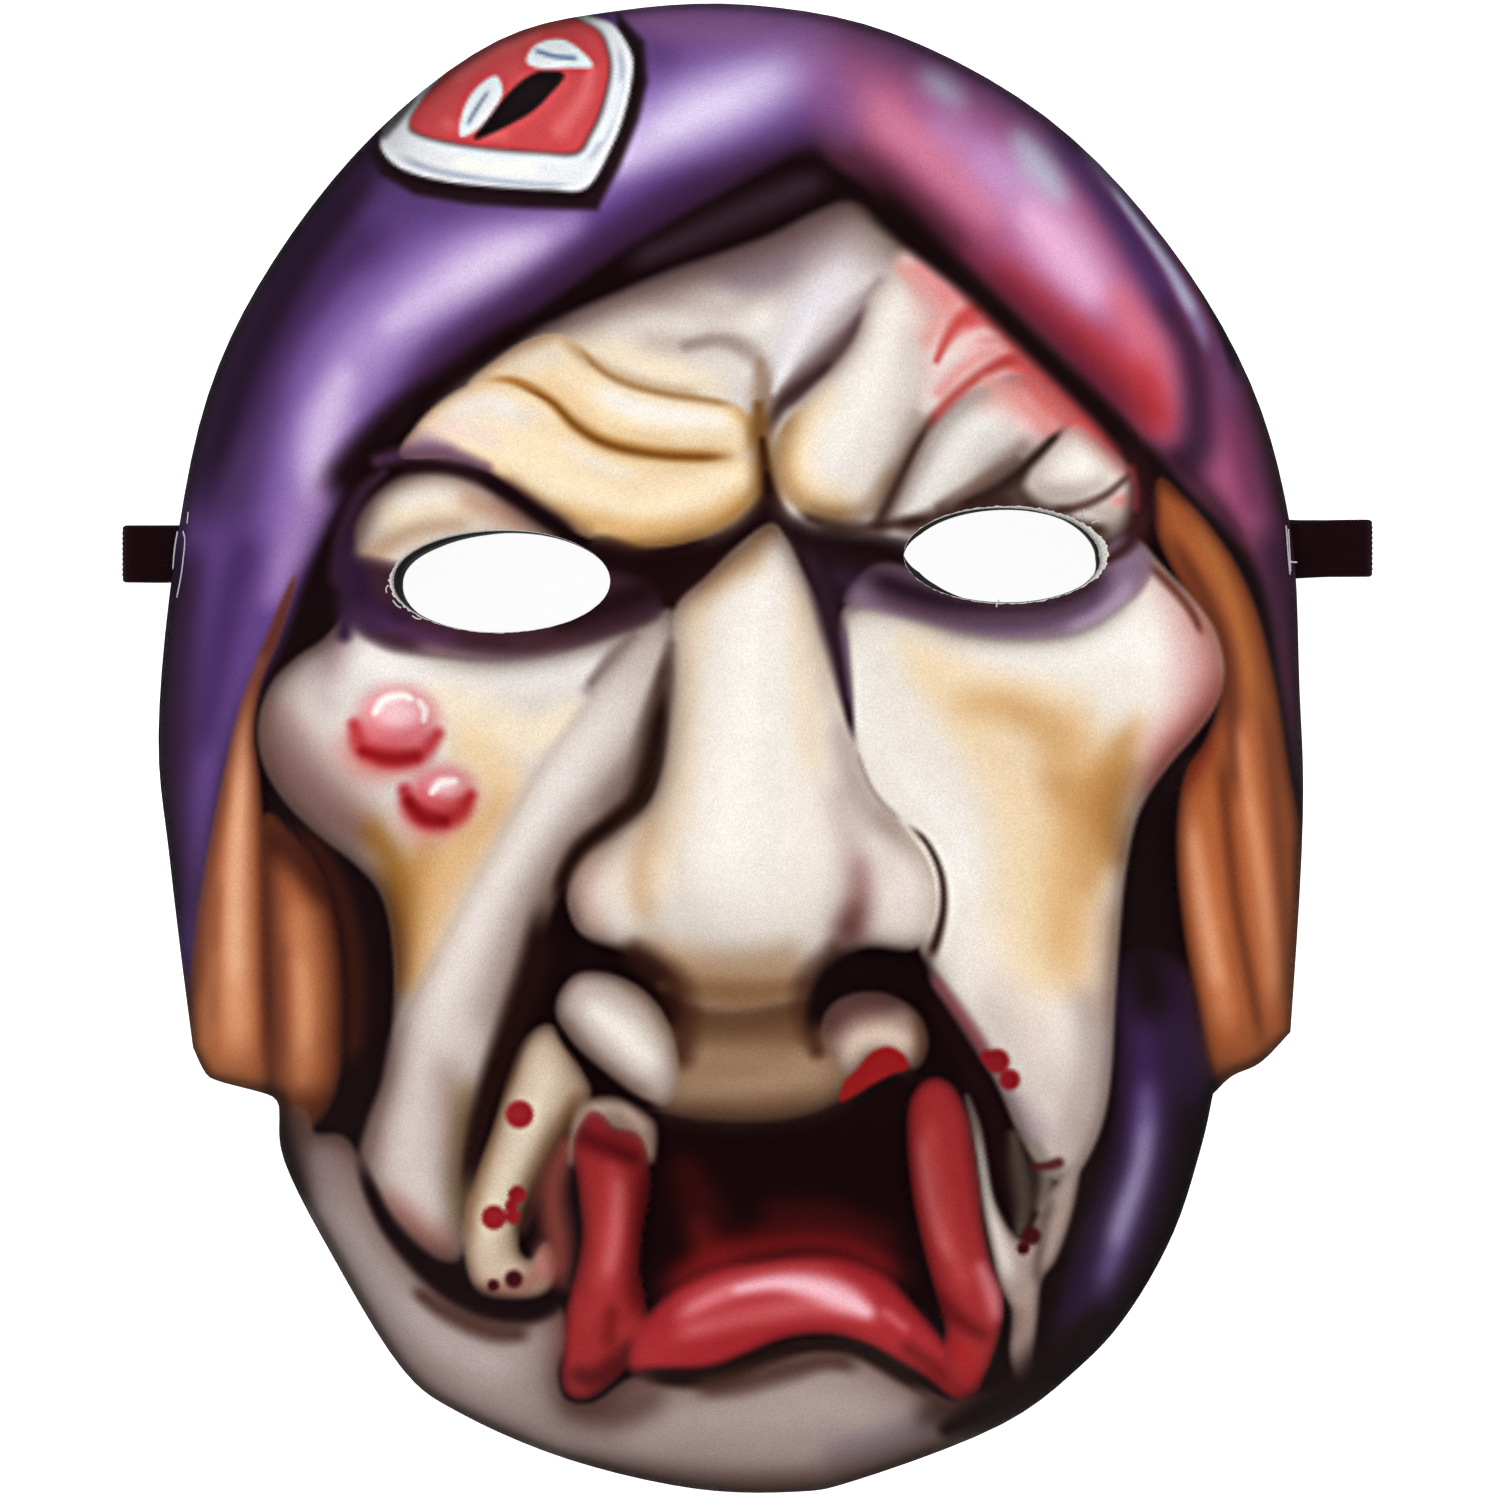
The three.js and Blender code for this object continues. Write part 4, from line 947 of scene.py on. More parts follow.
def paint_left_cheek(p):
    """The left cheek with its hollow, and the long fold beside the nose"""
    # the cheek with its hollow
    p.form(
        [(-67, 31), (-67.4, 24), (-71, 19), (-76, 15.6), (-80.4, 11), (-82.6, 4), (-81.6, -3),
         (-77.6, -9.6), (-71.6, -15.4), (-66, -19.8), (-61.6, -24.6), (-59.4, -31), (-58.6, -40),
         (-58.6, -52), (-52, -50), (-42, -30), (-30, -6), (-18, 8), (-10, 20), (-10.4, 24), (-16, 22),
         (-24, 19.4), (-33, 17), (-42, 16), (-51, 17.6), (-58, 21), (-62, 26)],
        PEARL, edge=1.0, soft=1.4, rim=(0x381E16, 1.5, 0.92),
        strokes=[
            (0xAA867A, 0.85, [(-80, 6, 7), (-77, 0, 9), (-72, -6, 9), (-65, -12, 7)]),
            (0x8C6254, 0.8, [(-80, -1, 4), (-76, -7, 5), (-70, -12, 5), (-64, -16, 4)]),
            (0xBEACAA, 0.8, [(-78, 9, 3), (-74, 11.6, 4), (-71, 8, 4)]),
            (0x62484C, 0.45, [(-80, 3, 6), (-76, -4, 7), (-71, -10, 7), (-64, -16, 5)]),
            (0xA08088, 0.85, [(-68, 26, 3.4), (-69, 20, 4.4), (-71, 14, 4)]),
            (WHITE, 0.95, [(-64, 15, 4), (-54, 13.2, 6), (-43, 12.4, 6), (-32, 13, 5), (-24, 15, 4)]),
            (0xFAE8CC, 0.95, [(-50, 8, 7), (-42, 4, 8), (-35, 2, 7), (-28, 6, 4)]),
            (0xF4D2A2, 0.9, [(-46, 0, 7), (-42, -4, 7), (-39, -6, 5)]),
            (0xE2B47E, 0.95, [(-41, -10, 5), (-46, -16, 8), (-51, -23, 9), (-54, -32, 7), (-56, -41, 5)]),
            (0xC48A4E, 0.85, [(-54, -18, 4.4), (-56, -24, 5.4), (-57.4, -31, 4.6), (-58, -39, 3)]),
            (0x945C1A, 0.95, [(-63, -14, 3.4), (-60.4, -18.4, 5), (-58.8, -25, 5), (-58.4, -34, 4.2),
                (-58.4, -42, 2.8)]),
            (0x643812, 0.7, [(-60.6, -26, 1.6), (-59.2, -33, 1.8), (-58.6, -41, 1.6)]),
        ],
    )
    # the long fold beside the nose
    p.form(
        [(-11, 23), (-9.6, 16), (-11, 6), (-14, -4), (-19.4, -11.6), (-26, -18), (-31.6, -26), (-35, -36),
         (-39, -48), (-43.6, -60), (-46, -72), (-46.4, -82), (-48.6, -89), (-55, -86.4), (-61, -80),
         (-64.4, -73), (-63, -66), (-60.4, -59), (-58.6, -50), (-54, -41), (-48, -30), (-41, -17),
         (-34, -5), (-27, 5), (-20, 14), (-15, 21)],
        0xD6CAC4, edge=2, soft=1.7, rim=(BROWN, 1.4, 0.5),
        strokes=[
            (0xF0E9E4, 0.95, [(-14, 17, 4), (-20, 9, 6), (-27, 0, 7), (-35, -11, 7), (-42, -22, 6.4),
                (-48, -34, 5.4), (-52, -44, 4), (-55, -53, 3)]),
            (WHITE, 0.8, [(-24, 6, 3), (-31, -4, 4), (-38, -15, 4.4), (-44, -26, 4), (-49, -37, 3)]),
            (0xA08A82, 0.9, [(-13, 4, 3), (-18, -4, 4), (-25, -12, 4.6), (-31, -20, 5.4), (-36, -30, 6),
                (-40, -42, 6.6), (-45, -54, 6.6)]),
            (0x60423A, 0.85, [(-21, -12, 2.6), (-28, -20, 3), (-33, -30, 3.6), (-36.6, -42, 3.8),
                (-41, -55, 3.4)]),
            (0xCCBEBA, 0.9, [(-53, -58, 4), (-55, -66, 5), (-57, -74, 5)]),
            (0xA0867E, 0.85, [(-50, -56, 4), (-49, -66, 5), (-48.6, -76, 5)]),
            (0x8C625C, 0.8, [(-59.6, -56, 2.4), (-62, -64, 3), (-63, -72, 3)]),
            (0x805C2E, 0.85, [(-46.6, -60, 3), (-47, -72, 3.6), (-47, -82, 3.4)]),
            (0x422C12, 0.75, [(-45.4, -60, 2.4), (-47, -71, 3.2), (-48, -81, 3.4), (-49, -88, 2)]),
            (0x786058, 0.45, [(-58, -50, 3), (-60.6, -60, 4), (-63, -70, 4), (-62, -78, 3)]),
            (0xA06054, 0.9, [(-60, -79, 3), (-55, -84, 3.4), (-50, -87, 3)]),
            (0x602420, 0.9, [(-60.6, -82, 1.8), (-54, -87.6, 2.2), (-48, -90, 2.2)]),
        ],
    )
    p.spray(0x968482, 0.7, [(-17, 20, 2.2), (-21, 15.4, 2.8), (-25, 10.4, 2.4)])
    p.spray(0x786460, 0.6, [(-17.4, 20, 1.6), (-21, 16, 2), (-24.6, 11.6, 1.4)])


def paint_warts(p):
    """Two warts on the left cheek"""
    p.glow(0xCC605A, 0.85, (-62, -0.6), (10.4, 8.4), -10, hard=0.1)
    p.glow(0xCC6056, 0.75, (-53, -12), (9.4, 7.6), 0)
    # upper wart
    p.glow(0xDA7078, 0.97, (-58.6, 4.4), (10.2, 9), 4, hard=0.3)
    p.spray(0xB82E36, 0.85, [(-66.2, 4, 2.2), (-64.6, 0, 3.4), (-60, -1.6, 3.8), (-55, -1.4, 3.6),
        (-51.6, 2.4, 2.2)])
    p.spray(0x8C0E16, 0.8, [(-64.6, -0.6, 1.8), (-60, -1.9, 2.4), (-55.4, -1.5, 2.2)])
    p.glow(0xF2C4CA, 0.95, (-58.6, 6.2), (7, 4.4), 0, hard=0.2)
    p.spray(WHITE, 0.92, [(-62.6, 6.2, 1), (-61, 8.4, 1.5), (-58, 9.2, 1.5), (-56.2, 8.6, 1)])
    p.spray(WHITE, 0.85, [(-54.8, 8.2, 0.9), (-53.8, 6.6, 1.1), (-54, 4.8, 0.8)])
    # lower wart
    p.glow(0xCE5C64, 0.97, (-51, -8.6), (8.8, 7.6), 12, hard=0.3)
    p.spray(0xAE242A, 0.85, [(-57.4, -7.4, 2.2), (-55.8, -10.8, 3.4), (-52, -12.6, 3.6), (-48, -11.6, 3.2),
        (-45.8, -8.4, 2)])
    p.spray(0x800A12, 0.8, [(-56.6, -9.4, 1.8), (-54, -12, 2.6), (-50.4, -12.8, 2)])
    p.glow(0xECB8BE, 0.92, (-50.2, -6.6), (5, 3.2), 0, hard=0.2)
    p.spray(WHITE, 0.9, [(-52.6, -7.8, 0.9), (-51, -6.2, 1.4), (-48.6, -5.8, 1.1)])


def paint_right_cheek(p):
    """The right cheek, and the shadow of the hair over its upper edge"""
    p.form(
        [(71, 36), (75.6, 31.4), (80.4, 26.2), (84.4, 20.6), (86, 14), (84.8, 8), (81.4, 3), (77, -2),
         (73, -7.6), (70.4, -13.6), (68.8, -22), (67.8, -32), (67, -44), (66.4, -56), (65, -65),
         (61.6, -73), (58, -76), (52, -70), (46.4, -58), (41, -50), (36, -42), (33, -34), (33, -27),
         (32, -21), (28, -15), (22.6, -10), (19.6, -2), (18, 6), (17.6, 14), (18.6, 20), (21, 25), (30, 24),
         (40, 20.6), (50, 19.6), (60, 20.6), (67, 24.6), (70, 30)],
        BONE, edge=0.9, soft=1.6, rim=(BROWN, 1.2, 0.6),
        strokes=[
            (0xF8E0BC, 0.9, [(31, 18, 4), (40, 13, 6), (50, 10, 6), (60, 7, 6)]),
            (0xF2D6AC, 0.95, [(33, 14, 4), (41, 5, 7), (48, -4, 10), (52, -14, 12), (53, -26, 13),
                (54, -38, 11)]),
            (0xE8BE8E, 0.9, [(60, 3, 8), (63, -6, 9), (61, -18, 9), (60, -30, 8), (60, -40, 6)]),
            (0xE0B27C, 0.95, [(42, 8, 5), (48, 7, 6), (54, 4, 7), (58, -3, 8), (60, -12, 8), (59, -24, 7),
                (58, -34, 6)]),
            (0xCC9860, 0.9, [(57, -6, 5), (61, -10, 6), (63, -16, 6), (63, -24, 4)]),
            (0xD6A46C, 0.75, [(47, 8, 3), (53, 5.4, 4), (58, 2, 4)]),
            (0xD69E60, 0.85, [(71.4, 5, 2.4), (69, -1, 4), (66, -6, 6)]),
            (0xB27A3A, 0.75, [(69, 2, 3), (66.4, -4, 4.6), (65, -9, 6), (65.6, -14, 4.6), (66.8, -20, 3)]),
            (0x7A4612, 0.65, [(71, -3, 2), (68.6, -8, 3.4), (67.4, -13, 3.2), (67.8, -19, 2)]),
            (WHITE, 0.95, [(23, 17, 3), (23.8, 8, 4), (26, 0, 5.4), (32, -8, 6.4), (38, -15, 6.6),
                (41, -23, 6)]),
            (WHITE, 0.95, [(42, 17, 2.4), (53, 16, 4), (62, 17, 6), (70, 20, 7), (74, 16, 5)]),
            (0xCEBEB6, 0.9, [(46, -46, 6), (52, -53, 8), (57, -60, 8), (61, -67, 6)]),
            (0xE2D2C6, 0.85, [(47, -40, 5), (52, -47, 6), (54, -55, 5)]),
            (0xA6928C, 0.8, [(62, -44, 4), (63, -54, 4.6), (61, -64, 4.6), (58, -72, 4)]),
            (0x967C8C, 0.75, [(45, -55, 2.6), (49.6, -62, 3.4), (54, -68, 4)]),
            (0xAA8464, 0.7, [(66.4, -26, 2.6), (66, -38, 2.6), (65, -50, 2.4)]),
            # rosy rim
            (0xE2B8B4, 0.9, [(75, 30, 4), (79, 23, 5), (80.6, 14, 6.6), (79, 7, 6), (75, 0, 4.6)]),
            (0xC47674, 0.92, [(78.6, 27, 3), (83, 20, 3.6), (84.4, 12, 5), (81.6, 5, 5.4), (76.4, -1, 5),
                (72, -8.6, 3.6)]),
            (0x863028, 0.95, [(86, 15, 1.6), (84.8, 8, 3), (80.6, 1.8, 4), (75.6, -4, 4), (71.6, -11, 3)]),
        ],
    )
    # shadow of the hair over the cheek's upper edge
    p.spray(0x5C2820, 0.75, [(71, 34, 1.4), (76, 29.6, 1.6), (80.4, 24.4, 1.4), (83, 19, 1)])


def paint_eye_bags(p):
    """The dark violet bags under both eyes"""
    p.form(
        [(-67, 33), (-67, 23), (-61, 17.6), (-51, 16.2), (-40, 15.9), (-31, 17), (-22, 19.6), (-13, 23),
         (-14, 28), (-22, 31), (-40, 32), (-56, 32)],
        0x3C202C, soft=0.8,
        strokes=[
            (0x281230, 0.95, [(-66, 31, 4), (-64.4, 25, 4), (-58, 22.4, 3)]),
            (0x522C54, 0.9, [(-64, 22.6, 1.8), (-58.6, 21, 2.2), (-53, 19.4, 2), (-47, 19, 1.6)]),
            (0x987680, 0.9, [(-57, 18.6, 1.2), (-51, 17, 1.6), (-43, 15.8, 1.7), (-35, 15.8, 1.5),
                (-27, 17.4, 1.2)]),
            (0x1A090C, 0.9, [(-30, 21.6, 2.4), (-23, 24.6, 3.6), (-15, 27.6, 3.6)]),
            (0x543432, 0.5, [(-40, 18.6, 1.4), (-32, 18.4, 1.4), (-25, 20.4, 1.2)]),
        ],
    )
    p.spray(0x2E1832, 0.9, [(-67.4, 38, 2), (-67.6, 31, 3.4), (-67.4, 25, 3.6), (-68, 20, 2.6)])
    p.glow(0x402448, 0.8, (-63.6, 22.6), (6, 5), 0)
    p.form(
        [(20, 26), (25, 24.4), (32, 22.6), (41, 20.4), (50, 19.2), (59, 20), (66, 23.2), (72, 28),
         (73.4, 33), (69, 37), (60, 31), (48, 27), (36, 30), (26, 32)],
        0x846880, soft=0.8,
        strokes=[
            (0x46304A, 0.9, [(24, 27, 3), (32, 24.6, 3), (40, 22.8, 2.8), (48, 22, 2.6), (56, 23, 2.6),
                (63, 26, 2.8), (68, 31, 2.6)]),
            (0x1E0C16, 0.97, [(20, 30.4, 3.4), (26, 29.4, 4), (32, 27.4, 4), (39, 25.6, 3), (47, 24.8, 2.2),
                (56, 25.6, 2.2), (63, 28.8, 2.4), (68, 34, 2.6)]),
            (0x5C3E4C, 0.9, [(22, 25.6, 1.3), (28, 25.4, 1.6), (36, 23.2, 1.5), (45, 22.6, 1.3),
                (54, 22.8, 1.3), (61, 25.4, 1.3), (66.6, 29.6, 1.3)]),
            (0xB69EBA, 0.9, [(58, 20.6, 1.2), (63.6, 22.8, 1.8), (68, 26.4, 2), (71, 30, 1.8)]),
            (0x784E60, 0.7, [(70.6, 26.6, 1.4), (73.6, 30.6, 1.4)]),
            (0xA28EB2, 0.6, [(23.6, 23, 1), (29, 21.6, 1.5), (35, 21, 1.3)]),
        ],
    )
    p.spray(0x381A1C, 0.9, [(66, 33, 1.6), (69.6, 35.6, 2.4), (72, 40, 2.6)])


def paint_nose(p):
    """The long nose, its wings and its underside"""
    p.form(
        [(6.6, 39), (1, 35), (-4, 30), (-9.4, 24.8), (-10, 18), (-10.2, 10), (-11, 2), (-12.4, -5),
         (-14.6, -10), (-19.6, -14), (-25.2, -18.4), (-28, -22.6), (-28.4, -27.4), (-26, -32.6),
         (-19.6, -35.4), (-14.6, -37.4), (-11, -42), (-9.8, -50), (4, -52), (15, -50), (15.6, -43),
         (18, -37.6), (24, -34.8), (31, -35.4), (34.4, -32), (35.6, -27), (34.4, -20.6), (30.6, -15),
         (26, -9.6), (22.8, -4), (21.2, 3), (19.6, 10), (17.4, 18), (15.2, 25), (11.8, 32), (9, 37)],
        BONE, edge=0.8, soft=1.5, rim=(0x684634, 1.4, 0.6),
        strokes=[
            (WHITE, 0.7, [(6, 32, 4), (4, 22, 7), (3, 8, 9), (2, -6, 11), (2, -20, 13)]),
            (0xF0DABE, 0.9, [(0, 31, 4), (-5, 25, 4), (-7.4, 18, 4.4), (-8, 8, 4), (-9, -2, 5),
                (-11, -12, 6), (-14, -22, 6.4), (-12, -31, 6)]),
            (0x825830, 0.92, [(6.4, 38, 3), (4, 34.4, 2.6), (0, 31.8, 2.2), (-5, 27.8, 1.6)]),
            (0xD8B288, 0.8, [(5, 32, 2), (-2, 29, 2.4), (-7.4, 24, 2)]),
            (0xECD4B6, 0.85, [(11, 32, 2.6), (12, 22, 3), (13, 10, 3.4), (14, 0, 3.4), (15.6, -8, 3)]),
            (0xBEA08C, 0.6, [(13.6, 28, 1.6), (16, 16, 1.8), (17.4, 6, 1.8)]),
            (0xB09E98, 0.8, [(18.6, 4, 2.4), (20.4, -4, 3), (23.4, -10, 3.4), (28, -14.6, 3)]),
            (0xCCB8B2, 0.95, [(18, -8, 3.6), (20.6, -16, 4.6), (21.6, -24, 5), (21, -31, 5)]),
            (0x90625E, 0.95, [(22.6, -20, 2.4), (22.6, -26, 3.8), (20.8, -32, 5)]),
            (0x542622, 0.9, [(22, -28, 2.4), (20, -33, 3.8)]),
            # left wing
            (0xC4A496, 0.92, [(-20, -15, 3.4), (-24.6, -20, 4.4), (-26, -26.6, 4.2), (-22.6, -32, 3.6)]),
            (0xE8D4C4, 0.8, [(-20, -21, 3), (-20.4, -26, 3)]),
            (0x825C56, 0.9, [(-22, -14.6, 1.8), (-27.6, -19.6, 2.4), (-29.4, -26.6, 2.8),
                (-26.6, -32.6, 2.8)]),
            (0xCCA278, 0.9, [(-12.6, -10, 1.8), (-15.4, -17, 2.4), (-16, -25, 2.8), (-14, -32, 3)]),
            # right wing
            (0xE2D4CE, 0.9, [(27.4, -20, 3.6), (30, -26, 3.6), (29, -31, 2.6)]),
            (WHITE, 0.7, [(30, -21, 1.6), (32, -26, 1.6)]),
            (0x967870, 0.75, [(24.6, -10.6, 1.6), (29.4, -15.4, 1.8), (34, -20, 1.6), (36, -26, 1.6),
                (34.6, -32, 2)]),
            # underside
            (0xBE9A7A, 0.9, [(-20, -34, 3), (-14, -35, 4), (-5, -37.6, 4.6), (6, -37.6, 4.6),
                (15, -34.6, 4)]),
            (0x966C4A, 0.95, [(-22, -36, 2.4), (-12, -39.4, 4), (-2, -42, 5), (8, -42, 5), (16, -38.6, 4)]),
            (0x684226, 0.97, [(-10, -47, 6), (2, -48.4, 6.6), (14, -47, 6)]),
        ],
    )


def paint_nose_sides(p):
    """Dark creases on both sides of the nose, and the pale cheek beside the right one"""
    p.spray(0x786058, 0.6, [(-10.6, 18, 2), (-12, 8, 3.4), (-15.6, -2, 5), (-21, -10, 5)])
    p.spray(0x543E36, 0.97, [(-10.6, 20, 0.9), (-12, 12, 2.8), (-13.8, 4, 4), (-15.2, -4, 4.2),
        (-17.4, -9.8, 3.8), (-22, -14, 3.4), (-27, -18, 3), (-30.4, -24, 3)], hard=0.05)
    p.spray(0x22100C, 0.97, [(-11.4, 12, 1), (-12.8, 4, 2.4), (-14.2, -3, 3), (-16.6, -9, 2.8),
        (-21.6, -13.6, 2.4), (-26.6, -17.8, 2.2), (-29.8, -23.4, 2.4), (-30.6, -30, 2)])
    p.spray(0xF2EBE4, 0.9, [(22.6, 18, 1.4), (23.6, 10, 2.2), (24.8, 2, 2.6), (27.2, -5, 2.8),
        (31.4, -11, 2.8), (36, -15.4, 2.6), (39, -21, 2.2)])
    p.spray(0x2C1824, 0.98, [(11.6, 37, 2), (15.4, 29, 3), (18, 20, 3.2), (19.6, 12, 2.4), (20.8, 5, 1.3),
        (21.8, 0, 0.7)], hard=0.1)
    p.spray(0x685068, 0.6, [(19.4, 22, 1.4), (20.2, 14, 1), (20.8, 7, 0.7)])
    p.spray(0x96827C, 0.6, [(21.8, 0, 0.6), (24.8, -7.4, 0.7), (30, -13.2, 0.8)])
    p.spray(0x341C16, 0.95, [(30.6, -13, 0.6), (34.4, -16.8, 0.9), (36.8, -22.2, 1.1), (37.2, -28, 1.3),
        (36, -33.6, 1.7), (34, -38.4, 2)])


def paint_upper_lip(p):
    """The brown skin between the nose and the mouth"""
    p.form(
        [(-12, -42), (-10, -45), (0, -47), (12, -45), (16, -47), (18, -50.6), (22, -54), (21.4, -58.6),
         (18, -62), (12, -64.2), (4, -65.2), (-5, -64.8), (-12, -63.4), (-16, -61), (-12, -53)],
        0x967458, edge=1.6, soft=1.2, rim=(UMBER, 1.8, 0.7),
        strokes=[
            (0x5C3A20, 0.97, [(-13, -45, 6), (-4, -46, 6.4), (5, -46, 6.4), (15, -45, 6)]),
            (0x704E34, 0.8, [(-10, -51, 3.6), (1, -51.4, 3.6), (12, -51, 3.6)]),
            (0xA6846A, 0.7, [(-8, -54, 3), (4, -53, 3.4), (13, -54, 3)]),
            (0xAC8E74, 0.85, [(-12, -60, 3), (-4, -60, 3), (5, -59, 3), (14, -57, 4), (18, -54, 3)]),
            (0x78543C, 0.8, [(-10, -63, 2), (0, -63.6, 2.4), (9, -62.6, 2.4), (15, -61.6, 2)]),
        ],
    )


def paint_nostrils(p):
    """The dark under the nose's wings"""
    p.spray(INK, 0.98, [(-30, -33, 2.6), (-25, -36, 3.4), (-19, -38, 3.9), (-13.6, -40.6, 4),
        (-10.8, -45, 3.2), (-10, -51, 2.4)], hard=0.25)
    p.spray(0x805838, 0.6, [(-12, -41.6, 2), (-4, -42.6, 3.4), (5, -42.8, 3.6), (13, -41.6, 2.4)])
    p.spray(0x3C1E14, 0.75, [(-17, -36, 4), (-10.4, -41, 5), (-8.4, -47, 5), (-8.6, -54, 4)])
    p.spray(0x3C1E14, 0.75, [(18, -36, 4), (13.6, -41, 4.6), (13.4, -47, 4.6), (15, -53, 3)])
    p.spray(INK, 0.98, [(14.4, -51, 1.8), (15, -46, 2.8), (17, -41, 3.6), (21.4, -38, 4), (27, -37.6, 3.8),
        (32, -38.6, 3.6), (36, -42, 2.4)], hard=0.25)


def paint_lip_folds(p):
    """The two pale folds from the nose's wings to the middle of the upper lip"""
    p.form(
        [(-30.4, -47), (-29.8, -43), (-26.6, -39.8), (-21, -40), (-15.4, -43), (-11.6, -48), (-9.8, -54),
         (-9.8, -60), (-12.6, -62.4), (-17.4, -60.6), (-22.6, -56.4), (-27.6, -51.8)],
        0xD0C0B6, edge=0.8, soft=0.9, rim=(0x604438, 1.5, 0.75),
        strokes=[
            (0xF8F2E6, 0.97, [(-24, -46, 3), (-19, -50, 4.6), (-14.6, -54.6, 4)]),
            (0x8C746A, 0.8, [(-30, -46, 2.2), (-26.6, -51.6, 2.2), (-20.6, -57, 2), (-13, -61.6, 2)]),
            (0xAA9678, 0.8, [(-20, -41, 1.6), (-14, -45, 1.8), (-11, -51, 1.8)]),
        ],
    )
    p.spray(INK, 0.95, [(-31.4, -47.4, 1), (-28, -52.8, 1.4), (-22.8, -57.6, 1.6), (-17, -61.8, 1.6),
        (-11.6, -63.6, 1.2)], hard=0.1)
    p.form(
        [(16.4, -51), (17.4, -46), (21.4, -43.6), (27, -43.6), (32, -46.4), (34, -51), (33, -55),
         (30, -56.4), (25, -54.4), (21, -58), (18.8, -55)],
        0xB09486, edge=1.0, soft=0.9, rim=(UMBER, 1.5, 0.65),
        strokes=[
            (0x603636, 0.92, [(17, -49, 3.4), (21.4, -45.4, 3.8), (28, -44.6, 3.4)]),
            (0xECD4C2, 0.98, [(19.6, -55, 2.4), (22.6, -51.4, 3), (27, -50.4, 3), (30.6, -51.6, 2.4)]),
            (0x603A1E, 0.92, [(33, -48, 1.8), (33.6, -53, 2.2), (32.6, -57, 2.2)]),
        ],
    )


def paint_mouth(p):
    """The dark of the open mouth, with the red gum low in it"""
    p.form(
        [(-14.6, -66), (-6, -66), (4, -66.4), (13, -65.4), (19, -62.6), (24, -58.4), (30, -55.8),
         (32.6, -60), (32, -72), (33.6, -84), (38, -94), (36, -102), (28, -94), (17, -89), (6, -89.6),
         (-5, -92.6), (-12, -98), (-16, -102), (-17, -92), (-15.6, -80)],
        0x180608, edge=1.0, soft=1.3,
        strokes=[
            (0x3E0E0E, 0.9, [(-8, -74, 5), (-5, -82, 7), (-3, -90, 6)]),
            (0x741A1C, 0.8, [(-6, -84, 2.6), (-4, -88, 4), (0, -91, 4)]),
            (0x881A1C, 0.94, [(-14, -98, 3.4), (-5, -90.8, 4.8), (6, -87.6, 5.2), (17, -87, 4.8),
                (25, -90, 4), (32, -95.4, 3.4)]),
            (0x460E10, 0.8, [(8, -82, 5), (18, -82, 4), (27, -86, 4)]),
        ],
    )


def paint_left_lip(p):
    """A pale flap, and the lip that hangs under it"""
    p.form(
        [(-28.4, -73), (-28, -66.4), (-25.8, -62.2), (-20.6, -61.4), (-15.6, -64), (-13.4, -66.6),
         (-13.6, -72), (-15, -72.4), (-17.4, -68.6), (-21.4, -66.6), (-24.6, -66.2), (-26.6, -70)],
        0x96786A, edge=0.9, soft=0.6,
        strokes=[
            (0xC4B2A4, 0.7, [(-24, -63.2, 1.4), (-19, -63.4, 1.6), (-15.6, -66.6, 1.2)]),
        ],
    )
    p.form(
        [(-25, -64.2), (-22.6, -64.6), (-20.6, -67), (-17, -67.6), (-15, -71), (-14.8, -78), (-16, -85),
         (-16.4, -92), (-15, -99), (-13.6, -104.6), (-17.6, -107.6), (-21.6, -111.6), (-26, -114.2),
         (-29.4, -112.4), (-29.6, -105.8), (-28.8, -98), (-27, -91.5), (-26, -85), (-26.8, -77),
         (-27.6, -69.6)],
        0x9E2A2C, edge=0.6, soft=0.7, rim=(0x4A0C10, 1.4, 0.6),
        strokes=[
            (0xB83C3E, 0.95, [(-20.6, -73, 2.6), (-20.8, -80, 3.6), (-21.8, -87, 3.8), (-22.4, -94, 3.4)]),
            (0xD46C6C, 0.85, [(-19.8, -74, 1.4), (-19.8, -80, 2.2), (-20.6, -87, 2.2), (-22, -94, 1.8)]),
            (0x560C12, 0.97, [(-26.6, -68, 3.2), (-22, -70, 3.4), (-17, -72, 2.4)]),
            (0x681214, 0.92, [(-15.2, -72, 2), (-15.8, -82, 2.4), (-16.6, -92, 2.6), (-16.6, -101, 2.6)]),
            (0xAC3034, 0.8, [(-21, -95, 2), (-25.4, -100, 2.2)]),
            (0x701414, 0.9, [(-21, -99, 2), (-21.6, -104, 2.4)]),
            (0xB02C30, 0.8, [(-27.4, -97, 1.2), (-28, -103, 1.6), (-28, -108, 1.2)]),
            (0x4E0C10, 0.95, [(-27, -110, 2.4), (-24, -110.6, 3.6), (-20.6, -108.4, 3.6),
                (-17.4, -105, 2.6)]),
        ],
    )


